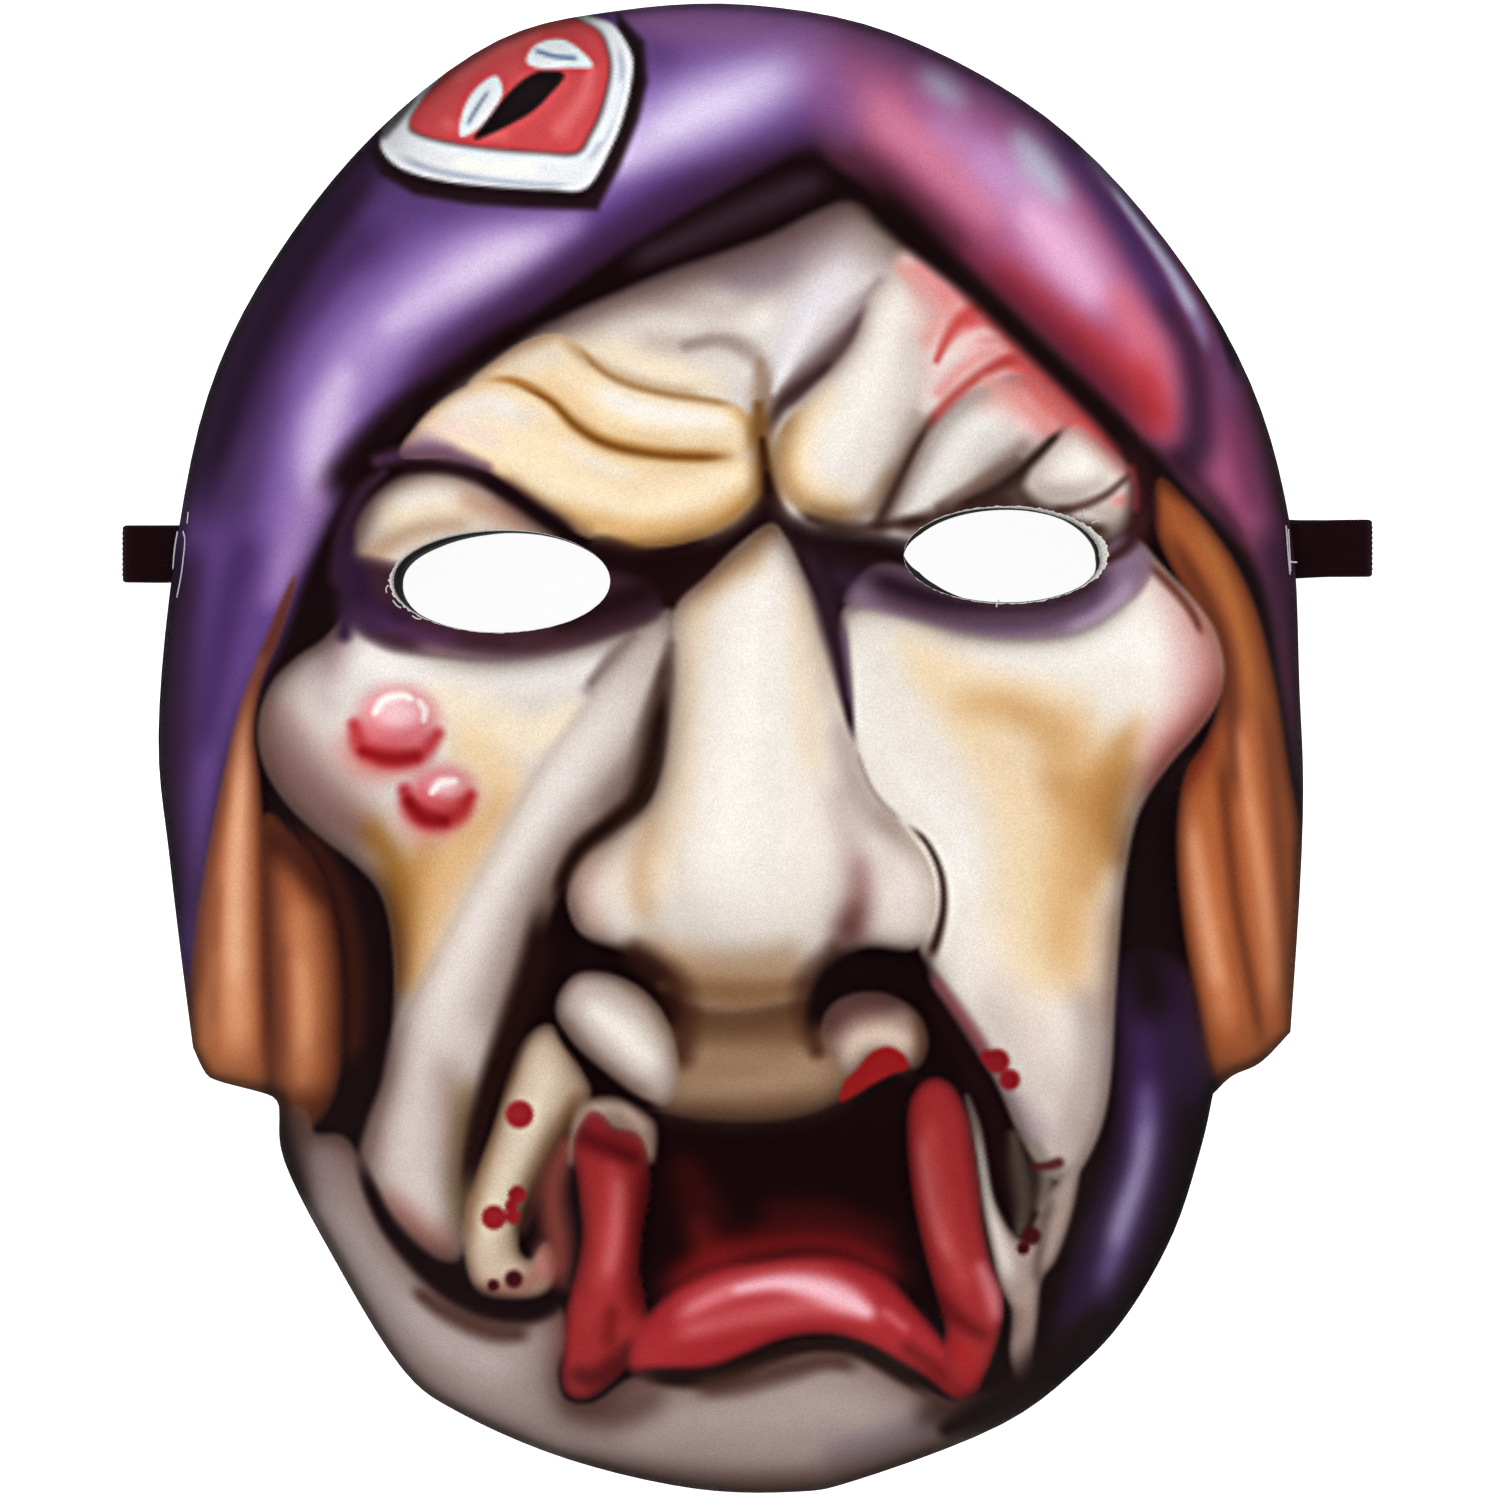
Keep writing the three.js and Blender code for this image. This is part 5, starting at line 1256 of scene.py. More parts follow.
def paint_lower_lip(p):
    """The lower lip with its wet highlight"""
    p.form(
        [(-17, -103.6), (-13.8, -98.8), (-9, -94.8), (-3, -91.8), (5, -90.2), (13, -89.2), (20, -89.8),
         (27, -93), (32.4, -98.6), (37.4, -104.6), (43.4, -111.6), (39.6, -114), (34.6, -110.6),
         (29, -107.4), (23.4, -104.4), (17, -102.6), (9, -103.4), (2, -106.4), (-4, -108.8), (-11, -109),
         (-17.4, -109.4)],
        0xA8282E, edge=1.0, soft=0.6, rim=(0x74141A, 1.1, 0.45),
        strokes=[
            (0xCE5C60, 0.9, [(-12, -104, 1.8), (-5, -101.6, 2.8), (4, -99.4, 3.4), (13, -98, 3.4),
                (22, -98.6, 3), (28, -101.6, 2.2)]),
            (0xE47C84, 0.95, [(-11.4, -101.4, 1.8), (-6, -97.8, 2.6), (0, -95.2, 3), (7, -93.8, 3.4),
                (14, -94.2, 4.2), (21, -96.8, 4.2), (26.4, -100.4, 2.4)]),
            (0xFAC4D0, 0.97, [(1, -95, 1.2), (8, -93.8, 2.1), (14, -94.6, 3.4), (19, -96.4, 3.8),
                (23.8, -99, 2)]),
            (0xC0464A, 0.6, [(-4, -100, 2), (1, -99, 2), (6, -98.6, 1.6)]),
            (0xBE4246, 0.7, [(-12, -98.6, 1), (-6, -94.8, 1.2), (2, -92, 1.2), (12, -90.6, 1.2),
                (21, -91.8, 1.2)]),
            (0xE2787E, 0.8, [(27, -99, 1.2), (30.4, -101.8, 1.2)]),
            (0x6C1214, 0.92, [(31, -105.4, 2.4), (36.6, -109.4, 2.6), (41.6, -112.6, 2)]),
        ],
    )


def paint_right_lip(p):
    """The lip at the right, down to the lower lip's corner"""
    p.form(
        [(33, -59.4), (36, -58), (39.2, -60), (41.6, -66), (43, -75), (44, -84), (45.6, -91), (47.6, -97),
         (46.8, -103), (44.6, -109.4), (42, -113), (38.4, -111), (37.4, -106), (37.6, -101), (35, -92),
         (32.6, -82), (31.2, -72), (31.2, -63.6)],
        0xA02A2D, edge=0.6, soft=0.7, rim=(0x601014, 1.3, 0.5),
        strokes=[
            (0xBA4242, 0.95, [(34.4, -63, 2.4), (35, -72, 3.2), (36.8, -82, 3.4), (39.6, -91, 3.2),
                (43, -97, 2.6)]),
            (0xD46C6C, 0.85, [(33.2, -67, 1), (34, -75, 1.7), (36, -84, 1.8), (39, -91, 1.4)]),
            (0x701618, 0.88, [(41.6, -66, 1.8), (43.2, -77, 1.9), (44.6, -86, 1.6)]),
            (0x620E12, 0.95, [(36.4, -96, 1.6), (39.6, -100, 2.6), (44, -103, 2)]),
            (0xAC1E20, 0.9, [(39, -104.6, 2), (41.4, -107.6, 3.4), (42.6, -110.4, 2.4)]),
            (0xDE8A90, 0.9, [(43.8, -91, 1.6), (45.8, -95.6, 2.6), (46.6, -99.6, 2)]),
        ],
    )


def paint_left_jowl(p):
    """The spotted jowl beside the left lip, and the black fold behind it"""
    p.form(
        [(-32.4, -48.8), (-29.6, -51.4), (-26.4, -57), (-25, -61), (-28, -66), (-31, -71), (-34, -76),
         (-37, -81.6), (-37.6, -88), (-35, -90), (-32.4, -87), (-31, -91), (-32.6, -95.4), (-38, -96.4),
         (-44, -95.4), (-46.4, -90), (-46.4, -82), (-44.6, -75), (-41.6, -67), (-39, -58), (-36.4, -51.6)],
        0xD8C2AC, edge=0.8, soft=0.9, rim=(0x603E28, 1.3, 0.75),
        strokes=[
            (0xECDCC4, 0.95, [(-31, -54, 2.6), (-33, -61, 3.6), (-36.4, -69, 3.6), (-40, -77, 3.2),
                (-42.4, -84, 3), (-42.4, -90, 2.6)]),
            (0x966E42, 0.85, [(-36, -53, 1.4), (-39.6, -60, 1.8), (-43, -70, 2.2), (-46, -81, 2.2),
                (-46.6, -89, 2)]),
            (0x6E4C2E, 0.9, [(-26, -58, 2), (-28.6, -64, 2.8), (-32.4, -71, 3), (-36, -79, 3),
                (-38, -86, 2.6)]),
            (0x342012, 0.7, [(-26.6, -62, 1.2), (-30, -69, 1.8), (-34, -77, 2), (-37, -84, 1.6)]),
            (0x965C54, 0.9, [(-33, -92, 3), (-38, -94.6, 3), (-43, -95, 2.6)]),
        ],
    )
    p.spray(0x46261E, 0.8, [(-28, -66, 1.6), (-32, -74, 2), (-35.6, -81, 2.2), (-37.6, -87, 1.8)])
    p.glow(0xBA7872, 0.85, (-32.8, -90.5), (3.4, 5.6), 12)
    p.spray(0x8A423A, 0.85, [(-29, -70, 3), (-31.4, -78, 4.4), (-30.4, -87, 4.6), (-30, -94, 3)])
    p.spray(0x220E0C, 0.97, [(-33, -26, 3), (-34, -36, 4.4), (-37.6, -47, 4.4), (-41.6, -58, 3.8),
        (-45, -69, 2.6), (-47, -80, 1.8)], hard=0.15)


def paint_right_jowl(p):
    """The fold from the nose to the mouth's right corner, and the pale strips under it"""
    p.spray(0x82404A, 0.85, [(34.4, -38.6, 1.6), (38.4, -44.6, 2.4), (42.4, -50.4, 2.6), (46, -56, 2)])
    p.spray(0x1E0A0C, 0.97, [(33.2, -40.6, 2), (36.6, -46, 2.4), (40.2, -52, 3), (43.8, -59, 3.4),
        (46.6, -66, 3.4), (47.8, -73, 3), (48.4, -79, 2)], hard=0.1)
    p.spray(0x504238, 0.9, [(49.6, -68, 2), (50.6, -74, 3.4), (51.4, -80, 3.4), (50.6, -85, 2)])
    p.spray(0x887A6E, 0.75, [(53.4, -70, 2), (55.4, -75.4, 3), (54.4, -80.6, 2)])
    p.form(
        [(41.2, -61), (43.4, -66), (44.6, -72), (45.8, -79), (48.6, -84.6), (51.4, -86.6), (54, -82),
         (56.6, -77.4), (60.6, -74), (60.2, -79), (58.6, -85), (56.6, -90), (54.2, -93.6), (53.4, -101),
         (52, -111), (50.2, -111), (49, -106), (49.4, -99), (47.4, -94), (45.8, -88), (44.2, -80),
         (43, -70)],
        0xA69086, edge=0.8, soft=0.7,
        strokes=[
            (0xDED4CC, 0.95, [(42.6, -66, 0.9), (44.6, -76, 1.3), (46.4, -84, 2.2), (48, -90, 2.8),
                (49.4, -95, 2.2)]),
            (0xDEB0B2, 0.75, [(46, -91, 1.2), (48, -97, 2)]),
            (0x8C7064, 0.85, [(50.8, -99, 2), (51.4, -108, 1.4)]),
            (0x422E28, 0.85, [(56.6, -78, 0.9), (54.8, -84, 1.2), (53.8, -90, 1.2), (53.4, -95, 1)]),
        ],
    )


def paint_jaw(p):
    """The jaw and chin in shade under the lips"""
    p.form(
        [(-78, -64), (-73.4, -68), (-68.4, -68.6), (-65.4, -73), (-62.4, -80.4), (-57.6, -88), (-51, -94.4),
         (-43, -98.6), (-35, -99.6), (-30.6, -98), (-29.8, -104), (-31, -110), (-29.4, -114.8),
         (-24, -115.4), (-17, -110.8), (-10, -110.8), (-2, -110.2), (6, -106.8), (14, -104.6), (22, -105.6),
         (30, -110.2), (38, -115), (44, -114), (52, -112), (60, -114), (40, -140), (-20, -144), (-70, -124),
         (-96, -84)],
        0xAA9692, soft=1.5, rim=(0x503228, 2.4, 0.85),
        strokes=[
            (0xC0B0AE, 0.9, [(-69, -78, 4), (-65, -88, 5), (-59, -97, 6), (-51, -104, 6), (-42, -108, 5.4),
                (-35, -108, 4)]),
            (0x967682, 0.8, [(-70, -71, 3), (-70, -76, 3)]),
            (0xB0A4AC, 0.6, [(-34, -108, 3), (-31, -115, 5)]),
            (0xA08A84, 0.8, [(-72, -84, 4), (-65, -96, 4.4), (-57, -106, 4.4), (-46, -113, 4.4)]),
            (0x684E4A, 0.92, [(-78, -80, 5), (-71, -93, 4.4), (-61, -108, 4.4), (-48, -118, 4.4),
                (-30, -125, 4.6)]),
            (0x1E0C0C, 0.95, [(-80, -62, 5), (-78, -70, 5.4), (-76, -78, 4)]),
            (0x543832, 0.92, [(-28, -116, 4), (-21, -117, 5), (-14, -114.6, 4)]),
            (0xB09E98, 0.92, [(-8, -118, 5), (3, -115.6, 6), (14, -114.6, 6), (25, -117, 4.4)]),
            (0x9E8886, 0.8, [(-14, -121.6, 4), (0, -122.6, 4.6), (14, -121.6, 4.6), (24, -121, 3)]),
            (0x786874, 0.8, [(18, -124, 3.4), (27, -121.4, 4), (34, -119, 3)]),
            (0x543A34, 0.95, [(-36, -124, 5), (-24, -127, 5), (-10, -129, 5), (4, -130, 5.4),
                (18, -129, 5.4), (32, -125, 5.4), (46, -118, 5)]),
            (0x1E0C0A, 0.98, [(34, -117, 3), (40, -115.6, 6), (47, -113.6, 7), (57, -109, 7)]),
        ],
    )
    p.spray(0x1A0A0A, 0.97, [(38, -119.4, 3), (45, -116, 6), (52, -111.4, 7.4), (58, -106.6, 7),
        (64, -101, 5)])
    p.spray(INK, 0.97, [(-66, -70, 1.6), (-63.8, -76.6, 2), (-60.4, -83.6, 2.4), (-55, -90, 3),
        (-49, -95.4, 3.6), (-42, -98.6, 3.8), (-35, -98.8, 3.4), (-30.4, -96, 3),
        (-28.8, -90, 2)], hard=0.15)
    p.spray(0x462A22, 0.85, [(-57, -94, 2), (-50, -99, 3), (-42, -102.4, 3.4), (-34, -102.6, 2.6)])
    p.spray(0x1E0E0C, 0.97, [(-20, -109, 1.8), (-10, -110.6, 2.6), (-2, -110, 3), (6, -107, 2.6),
        (14, -105, 2.2), (22, -105.6, 2.4), (30, -109.8, 2.6), (38, -114.6, 2.6)], hard=0.1)
    p.spray(0x462A22, 0.8, [(-8, -112.8, 3), (1, -111.4, 4), (10, -109, 4), (17, -107.6, 3),
        (24, -108.8, 3)])


def dot(p, colour, strength, places, hard):
    """Small round spots, each with its x, y and radius"""
    for x, y, radius in places:
        p.spray(colour, strength, [(x, y, SPOT_SPREAD * radius)], hard=hard)


def paint_spots(p):
    """Age spots on the jowls"""
    red_places = [
        (-37.2, -64.3, 2.5), (-41.7, -82.4, 2.2), (-38.4, -82.2, 1.4), (-37.6, -78.4, 1.6),
        (-38.6, -80.4, 1.2),
    ]
    dot(p, 0x961E24, 0.97, red_places, hard=0.7)
    dark_places = [(-38.2, -93.2, 1.8), (-41.8, -94.3, 1.2), (52.6, -85.6, 1.9), (51.2, -87.8, 1.3)]
    dot(p, 0x400E12, 0.95, dark_places, hard=0.5)
    dot(p, 0x881820, 0.97, [(46.6, -55, 2.4), (48.8, -58.2, 2), (44.8, -54.2, 1.3)], hard=0.6)
    p.spray(0x4C1C1C, 0.85, [(53, -73.4, 1.1), (55.2, -73.4, 1.3), (57.4, -72.8, 1.6)], hard=0.2)
    p.area(0x961A1C, 1.0, [(19, -62), (19.8, -58.6), (22, -56.4), (24.6, -53.4), (27.6, -52.4), (30.4, -54),
        (31, -56.2), (28, -57.4), (24.6, -59.2), (21.6, -61)], 0.5)


def paint_brooch(p):
    """A heart in a silver rim with a sprig on red enamel, cut off by the mask's edge at the upper left"""
    heart = [(-29, 129), (-24, 128.2), (-20.4, 126.6), (-17.6, 122), (-17.4, 118), (-18.6, 112),
        (-20.8, 106), (-25.4, 98.3), (-32, 98), (-39, 98.3), (-50, 99.4), (-57.4, 101.4), (-60.8, 104),
        (-61.6, 106.6), (-60, 110), (-54, 117), (-44, 126)]
    field = [(-31, 130), (-26.4, 127.6), (-23, 125.6), (-21.4, 121.8), (-21.2, 118), (-22.6, 112),
        (-24.6, 107.6), (-27.2, 104.2), (-34, 104.4), (-42, 105), (-50, 106.2), (-55.4, 107.8),
        (-56.4, 109.4), (-55, 112.4), (-48, 121), (-40, 128)]
    shadow = [(-20, 129), (-15.4, 124), (-14.8, 117), (-16.4, 110), (-19.6, 102), (-23.6, 94.4),
        (-36, 94.8), (-46, 95.5), (-55.6, 97.2), (-61.6, 100.6), (-64, 105), (-58, 106), (-40, 104),
        (-28, 104), (-22, 112), (-20, 122)]
    p.area(0x1A080E, 0.95, shadow, 0.9, corners=True)
    p.mask = p.area(0xE2E4E8, 1.0, heart, 0.4)
    p.spray(0xA0A6B6, 0.8, [(-59.6, 104.4, 1.6), (-53, 101.6, 1.2), (-45, 100, 1), (-36, 99, 0.9),
        (-27, 98.8, 0.9)])
    p.spray(0xF6F3EA, 0.9, [(-50, 103, 1.8), (-42, 102, 2), (-33, 101.6, 2)])
    p.spray(0xA6AEBE, 0.7, [(-26, 102, 1.2), (-22.4, 107, 1.2), (-20.2, 113, 1.1), (-19.2, 118.6, 1.1),
        (-20, 124, 1)])
    p.spray(0xF0F2F6, 0.8, [(-23.4, 105.6, 0.9), (-20.6, 112, 0.9), (-19.2, 118, 0.8)])
    p.spray(0x60545C, 0.8, [(-61, 107.6, 1.4), (-58.6, 110.6, 1.6), (-56, 114, 1.2)])
    p.mask = None
    p.area(0x220A0E, 0.95, field, 1.0)
    enamel = [(0.99 * x - 0.6, 0.99 * y + 1.4) for x, y in field]
    p.mask = p.area(0xC6464A, 1.0, enamel, 0.5)
    p.spray(0xDE6A6C, 0.8, [(-30, 108.6, 3), (-26, 114, 2.4), (-24.6, 119, 1.6)])
    p.spray(0xD66060, 0.7, [(-52, 110, 2), (-46, 108.6, 2), (-38, 107, 2)])
    p.spray(0xD45C5C, 0.7, [(-50, 116, 1.6), (-42, 122, 2), (-32, 125.6, 1.6)])
    p.area(0x12060A, 1.0, [(-45, 106.8), (-41.6, 112), (-37.4, 116.6), (-33.4, 118.8), (-29.4, 118.2),
        (-31.6, 115), (-36, 111)], 0.35)
    p.area(0xDEE2E6, 1.0, [(-47.6, 107.4), (-47.2, 111.6), (-45, 115.6), (-41.4, 118), (-40.2, 115),
        (-42, 111.6), (-44.6, 108.6)], 0.35)
    p.area(0xE0E4E8, 1.0, [(-36, 120.4), (-34.4, 123.4), (-30, 124.4), (-26.4, 122.4), (-24.4, 119.6),
        (-29, 119.4), (-33, 119.2)], 0.35)
    p.spray(0x607088, 0.75, [(-46.6, 109, 0.6), (-44.6, 112.4, 0.7), (-42.4, 115.6, 0.5)])
    p.spray(0x46608C, 0.8, [(-35, 122.6, 0.6), (-31, 121.4, 0.7), (-26.6, 121, 0.8)])
    p.mask = None


def soften_seam(p):
    """Blends the two halves of the hood"""
    p.spray(0x84548A, 0.65, [(12, 128, 6), (15, 121, 8), (18, 114, 8), (19, 108, 5)])
    p.soften(2.2, p.area(None, 0, [(8, 130), (26, 126), (27, 112), (20, 105), (10, 106), (6, 118)], 4))


def make_picture():
    """The whole drawing, from the back to the front"""
    p = Print(PICTURE_HALF_SIZE, PICTURE_PITCH, INK)
    paint_hood_left(p)
    paint_hood_right(p)
    soften_seam(p)
    paint_brooch(p)
    paint_left_lock(p)
    paint_jaw_lock(p)
    paint_right_lock(p)
    paint_violet_tail(p)
    paint_forehead(p)
    paint_left_brow(p)
    paint_left_lid(p)
    paint_right_brow(p)
    paint_red_folds(p)
    paint_right_bump(p)
    paint_hood_shadow(p)
    paint_frown(p)
    paint_left_cheek(p)
    paint_warts(p)
    paint_right_cheek(p)
    paint_eye_bags(p)
    paint_left_jowl(p)
    paint_right_jowl(p)
    paint_nose(p)
    paint_nose_sides(p)
    paint_upper_lip(p)
    paint_nostrils(p)
    paint_lip_folds(p)
    paint_mouth(p)
    paint_left_lip(p)
    paint_lower_lip(p)
    paint_right_lip(p)
    paint_jaw(p)
    paint_spots(p)
    p.crisp(CRISP_STRENGTH, CRISP_REACH)
    # shade painted towards the cut edge, where the shell's sides turn down
    p.paint_edge_shade(OUTLINE)
    return p


# Shape of the moulded shell


def crest(distance, half_width):
    """1 on a ridge's crest and 0 at its half width"""
    t = np.minimum(1.0, distance / half_width)
    return (1 - t * t) ** 2


def ridge_height(path, x, y):
    """The height of one form, the tallest part of its ridge at each place"""
    tallest = np.zeros(np.shape(x))
    for k in range(max(1, len(path) - 1)):
        start = path[k]
        end = path[min(k + 1, len(path) - 1)]
        dx = end[0] - start[0]
        dy = end[1] - start[1]
        length2 = dx * dx + dy * dy
        t = np.clip(((x - start[0]) * dx + (y - start[1]) * dy) / length2, 0, 1) if length2 else 0.0 * x
        half_width = start[2] + (end[2] - start[2]) * t
        height = start[3] + (end[3] - start[3]) * t
        here = height * crest(np.hypot(x - start[0] - dx * t, y - start[1] - dy * t), half_width)
        tallest = np.where(np.abs(here) > np.abs(tallest), here, tallest)
    return tallest


def dome_radius(x, y):
    """0 in the middle of the face and 1 on the dome's base curve"""
    across = x * math.cos(DOME_LEAN) + y * math.sin(DOME_LEAN)
    along = y * math.cos(DOME_LEAN) - x * math.sin(DOME_LEAN)
    power = DOME_SQUARENESS
    total = np.abs(across / DOME_HALF_WIDTH) ** power + np.abs(along / DOME_HALF_LENGTH) ** power
    return total ** (1 / power)


def dome_height(x, y):
    """The plain dome, with the arches at the rim that the strap passes under"""
    radius = dome_radius(x, y)
    rise = np.where(x < 0, LEFT_ARCH_RISE, RIGHT_ARCH_RISE)
    arch = rise * np.exp(-(((y - ARCH_Y) / ARCH_HALF_LENGTH) ** 2)) * radius**ARCH_POWER
    return DOME_RISE * (1 - radius**DOME_POWER) + arch


def forms_height(forms, x, y):
    """The forms' height, placed as the camera sees them and faded out towards the rim"""
    spread = SIGHT_DISTANCE / (SIGHT_DISTANCE - dome_height(x, y))
    fade = 1 - smooth_step(FADE_START, 1, dome_radius(x, y))
    return fade * sum(ridge_height(path, x * spread, y * spread) for path in forms.values())


def shell_height(x, y):
    """The shell's outer surface, as in the CAD model"""
    return dome_height(x, y) + forms_height(PRESSED_FORMS, x, y)


def shell_normal(x, y, step=0.5):
    slope_x = (shell_height(x + step, y) - shell_height(x - step, y)) / (2 * step)
    slope_y = (shell_height(x, y + step) - shell_height(x, y - step)) / (2 * step)
    return unit(np.stack([-slope_x, -slope_y, np.ones(np.shape(x))], axis=-1))


def lowest_near(field, steps):
    """The lowest value within this many grid steps of each place"""
    for axis in (0, 1):
        field = np.min([np.roll(field, k, axis=axis) for k in range(-steps, steps + 1)], axis=0)
    return field


def clear_of_eyes(picture):
    """0 at the eye holes and 1 away from them, over the picture's grid"""
    x, y = np.meshgrid(picture.across, picture.up)
    clear = np.ones(x.shape)
    for eye in EYES.values():
        wide, high = eye["half_size"]
        from_middle = np.hypot((x - eye["middle"][0]) / wide, (y - eye["middle"][1]) / high)
        clear *= smooth_step(1, EYE_CLEARANCE, from_middle)
    return clear


class Shell:
    """The moulded surface, with the creases of the picture that is printed on it"""

    def __init__(self, picture):
        tone = picture.colour @ np.array(TONE_WEIGHTS)
        narrow = blurred(tone, CREASE_NARROW / picture.pitch)
        wide = blurred(tone, CREASE_WIDE / picture.pitch)
        self.creases = CREASE_DEPTH * np.clip(narrow - wide, -CREASE_LIMIT, CREASE_LIMIT)
        lowest = lowest_near(self.creases, math.ceil(BACK_PITCH / picture.pitch))
        self.sink = (self.creases - lowest) * clear_of_eyes(picture)
        self.picture = picture
        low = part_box("mask_shell")[0]
        rim_x, rim_y = outline_loop(OUTLINE_PITCH).T
        self.lift = low[2] / MM - self.lowest(rim_x, rim_y)

    def lowest(self, x, y):
        """The underside's lowest height along the rim, before the shell is set on the table"""
        inner = shell_height(x, y) - FOAM_THICKNESS * shell_normal(x, y)[:, 2]
        return inner.min()

    def in_picture(self, x, y, z):
        """Where a place on the shell shows in the picture"""
        spread = SIGHT_DISTANCE / (SIGHT_DISTANCE - z)
        px = CAMERA_PLACE[0] + (x - CAMERA_PLACE[0]) * spread
        py = CAMERA_PLACE[1] + (y - CAMERA_PLACE[1]) * spread
        return px, py

    def front_height(self, x, y):
        """The printed surface: dome, pressed and raised forms, and creases"""
        height = shell_height(x, y) + forms_height(RAISED_FORMS, x, y)
        fade = 1 - smooth_step(FADE_START, 1, dome_radius(x, y))
        px, py = self.in_picture(x, y, height + self.lift)
        return height + fade * self.picture.sample_field(self.creases, px, py) + self.lift

    def front(self, x, y):
        """Points of the printed surface"""
        return np.stack([x, y, self.front_height(x, y)], axis=-1)

    def below(self, x, y, depth):
        """A layer under the printed surface, whose coarser mesh is sunk below every crease"""
        front = self.front(x, y)
        fade = 1 - smooth_step(FADE_START, 1, dome_radius(x, y))
        sink = fade * self.picture.sample_field(self.sink, *self.in_picture(*front.T))
        return front - depth * shell_normal(x, y) - np.multiply.outer(sink, (0, 0, 1))

    def back(self, x, y):
        """The plain inside of the foam"""
        inner = np.stack([x, y, shell_height(x, y) + self.lift], axis=-1)
        return inner - FOAM_THICKNESS * shell_normal(x, y)

    def under_picture(self, px, py):
        """The x and y of the shell's place that shows at a place in the picture"""
        x, y = px, py
        for _ in range(4):
            z = self.front_height(x, y)
            spread = SIGHT_DISTANCE / (SIGHT_DISTANCE - z)
            x = CAMERA_PLACE[0] + (px - CAMERA_PLACE[0]) / spread
            y = CAMERA_PLACE[1] + (py - CAMERA_PLACE[1]) / spread
        return x, y


# Cut edges and meshes


def evenly(curve, pitch):
    """Points a pitch apart along a curve, with both its ends"""
    along = lengths_along(curve)
    count = max(2, int(round(along[-1] / pitch)) + 1)
    at = np.linspace(0, along[-1], count)
    return np.stack([np.interp(at, along, column) for column in curve.T], axis=-1)


def outline_loop(pitch):
    """Points a pitch apart round the die-cut outline"""
    return np.vstack([evenly(rounded(stretch), pitch)[:-1] for stretch in OUTLINE])


def around(settings, angle):
    """Values set at a few angles in degrees, at any angles in radians"""
    at, values = np.array(settings, float).T
    return np.interp(np.degrees(angle), at, values, period=360)


def ragged(count, reach):
    """Uneven numbers about 1 around a loop, alike over this many steps"""
    rough = np.random.default_rng(SEED).normal(0, 1, count)
    alike = sum(np.roll(rough, k) for k in range(reach)) / reach
    return np.clip(1 + RAGGEDNESS * reach**0.5 * alike, *RAGGED_RANGE)


def eye_loops(shell, eye, pitch):
    """The cut edges of an eye hole: the print's, the cloth's, and the foam's at its front and back"""
    wide, high = eye["half_size"]
    count = int(2 * math.pi * math.sqrt((wide**2 + high**2) / 2) / pitch)
    a = np.arange(count) * 2 * math.pi / count
    outwards = np.stack([np.cos(a) / wide, np.sin(a) / high])
    outwards /= np.hypot(*outwards)
    cut = np.array(eye["middle"])[:, None] + np.stack([wide * np.cos(a), high * np.sin(a)])
    fray = around(eye["fray"], a)
    torn = TORN_SHARE * np.minimum(fray, TORN_WIDTH) * (1 - ragged(count, FRAY_REACH))
    insets = [torn, fray, fray + around(eye["foam"], a), fray + around(eye["back"], a)]
    return [np.stack(shell.under_picture(*(cut - inset * outwards)), axis=-1) for inset in insets]


def lattice(pitch):
    """A triangular lattice, and whether each place is also in the one that is twice as wide"""
    half_width, half_height = LATTICE_HALF_SIZE
    row_pitch = pitch * math.sqrt(0.75)
    last_row = int(half_height / row_pitch)
    reach = int(half_width / pitch + last_row + 0.5)
    a, b = np.meshgrid(np.arange(-reach, reach + 1), np.arange(-last_row, last_row + 1))
    x = pitch * (a + b / 2)
    y = row_pitch * b
    keep = np.abs(x) < half_width
    return np.stack([x[keep], y[keep]], axis=-1), ((a % 2 == 0) & (b % 2 == 0))[keep]


def well_inside(points, outline, holes, margin):
    """Which places are inside the outline and outside the holes, with a margin"""
    x, y = points.T
    keep = dome_radius(x, y) < ALL_OUTSIDE
    check = keep & (dome_radius(x, y) > ALL_INSIDE)
    keep[check] = inside_distance(outline, x[check], y[check]) > margin
    for hole in holes:
        low = hole.min(0) - 1 - margin
        high = hole.max(0) + 1 + margin
        check = (points > low).all(1) & (points < high).all(1)
        keep[check] &= inside_distance(hole, x[check], y[check]) <= -margin
    return keep


def triangles_between(loops, inner):
    """Triangles that fill the first loop, without the other loops, over the inner places"""
    points = np.vstack([*loops, inner])
    edges = []
    first = 0
    for loop in loops:
        count = len(loop)
        edges += [(first + k, first + (k + 1) % count) for k in range(count)]
        first += count
    found = delaunay_2d_cdt([Vector(p) for p in points.tolist()], edges, [], 1, MERGE_DISTANCE, False)
    assert len(found[0]) == len(points), "places were merged"
    faces = np.array(found[2])
    middle = points[faces].mean(axis=1)
    return points, faces[well_inside(middle, loops[0], loops[1:], 0)]


def closed_layer(top_loops, bottom_loops, top_inner, bottom_inner, top_at, bottom_at):
    """Points and faces of a closed sheet between two surfaces. Its cut edges come last"""
    top, top_faces = triangles_between(top_loops, top_inner)
    bottom, bottom_faces = triangles_between(bottom_loops, bottom_inner)
    points = np.vstack([top_at(*top.T), bottom_at(*bottom.T)])
    faces = [tuple(f) for f in top_faces.tolist()]
    faces += [(a + len(top), c + len(top), b + len(top)) for a, b, c in bottom_faces.tolist()]
    first = 0
    for number, loop in enumerate(top_loops):
        count = len(loop)
        for k in range(count):
            here = first + k
            after = first + (k + 1) % count
            wall = (here, here + len(top), after + len(top), after)
            faces.append(wall if number == 0 else wall[::-1])
        first += count
    return points, faces


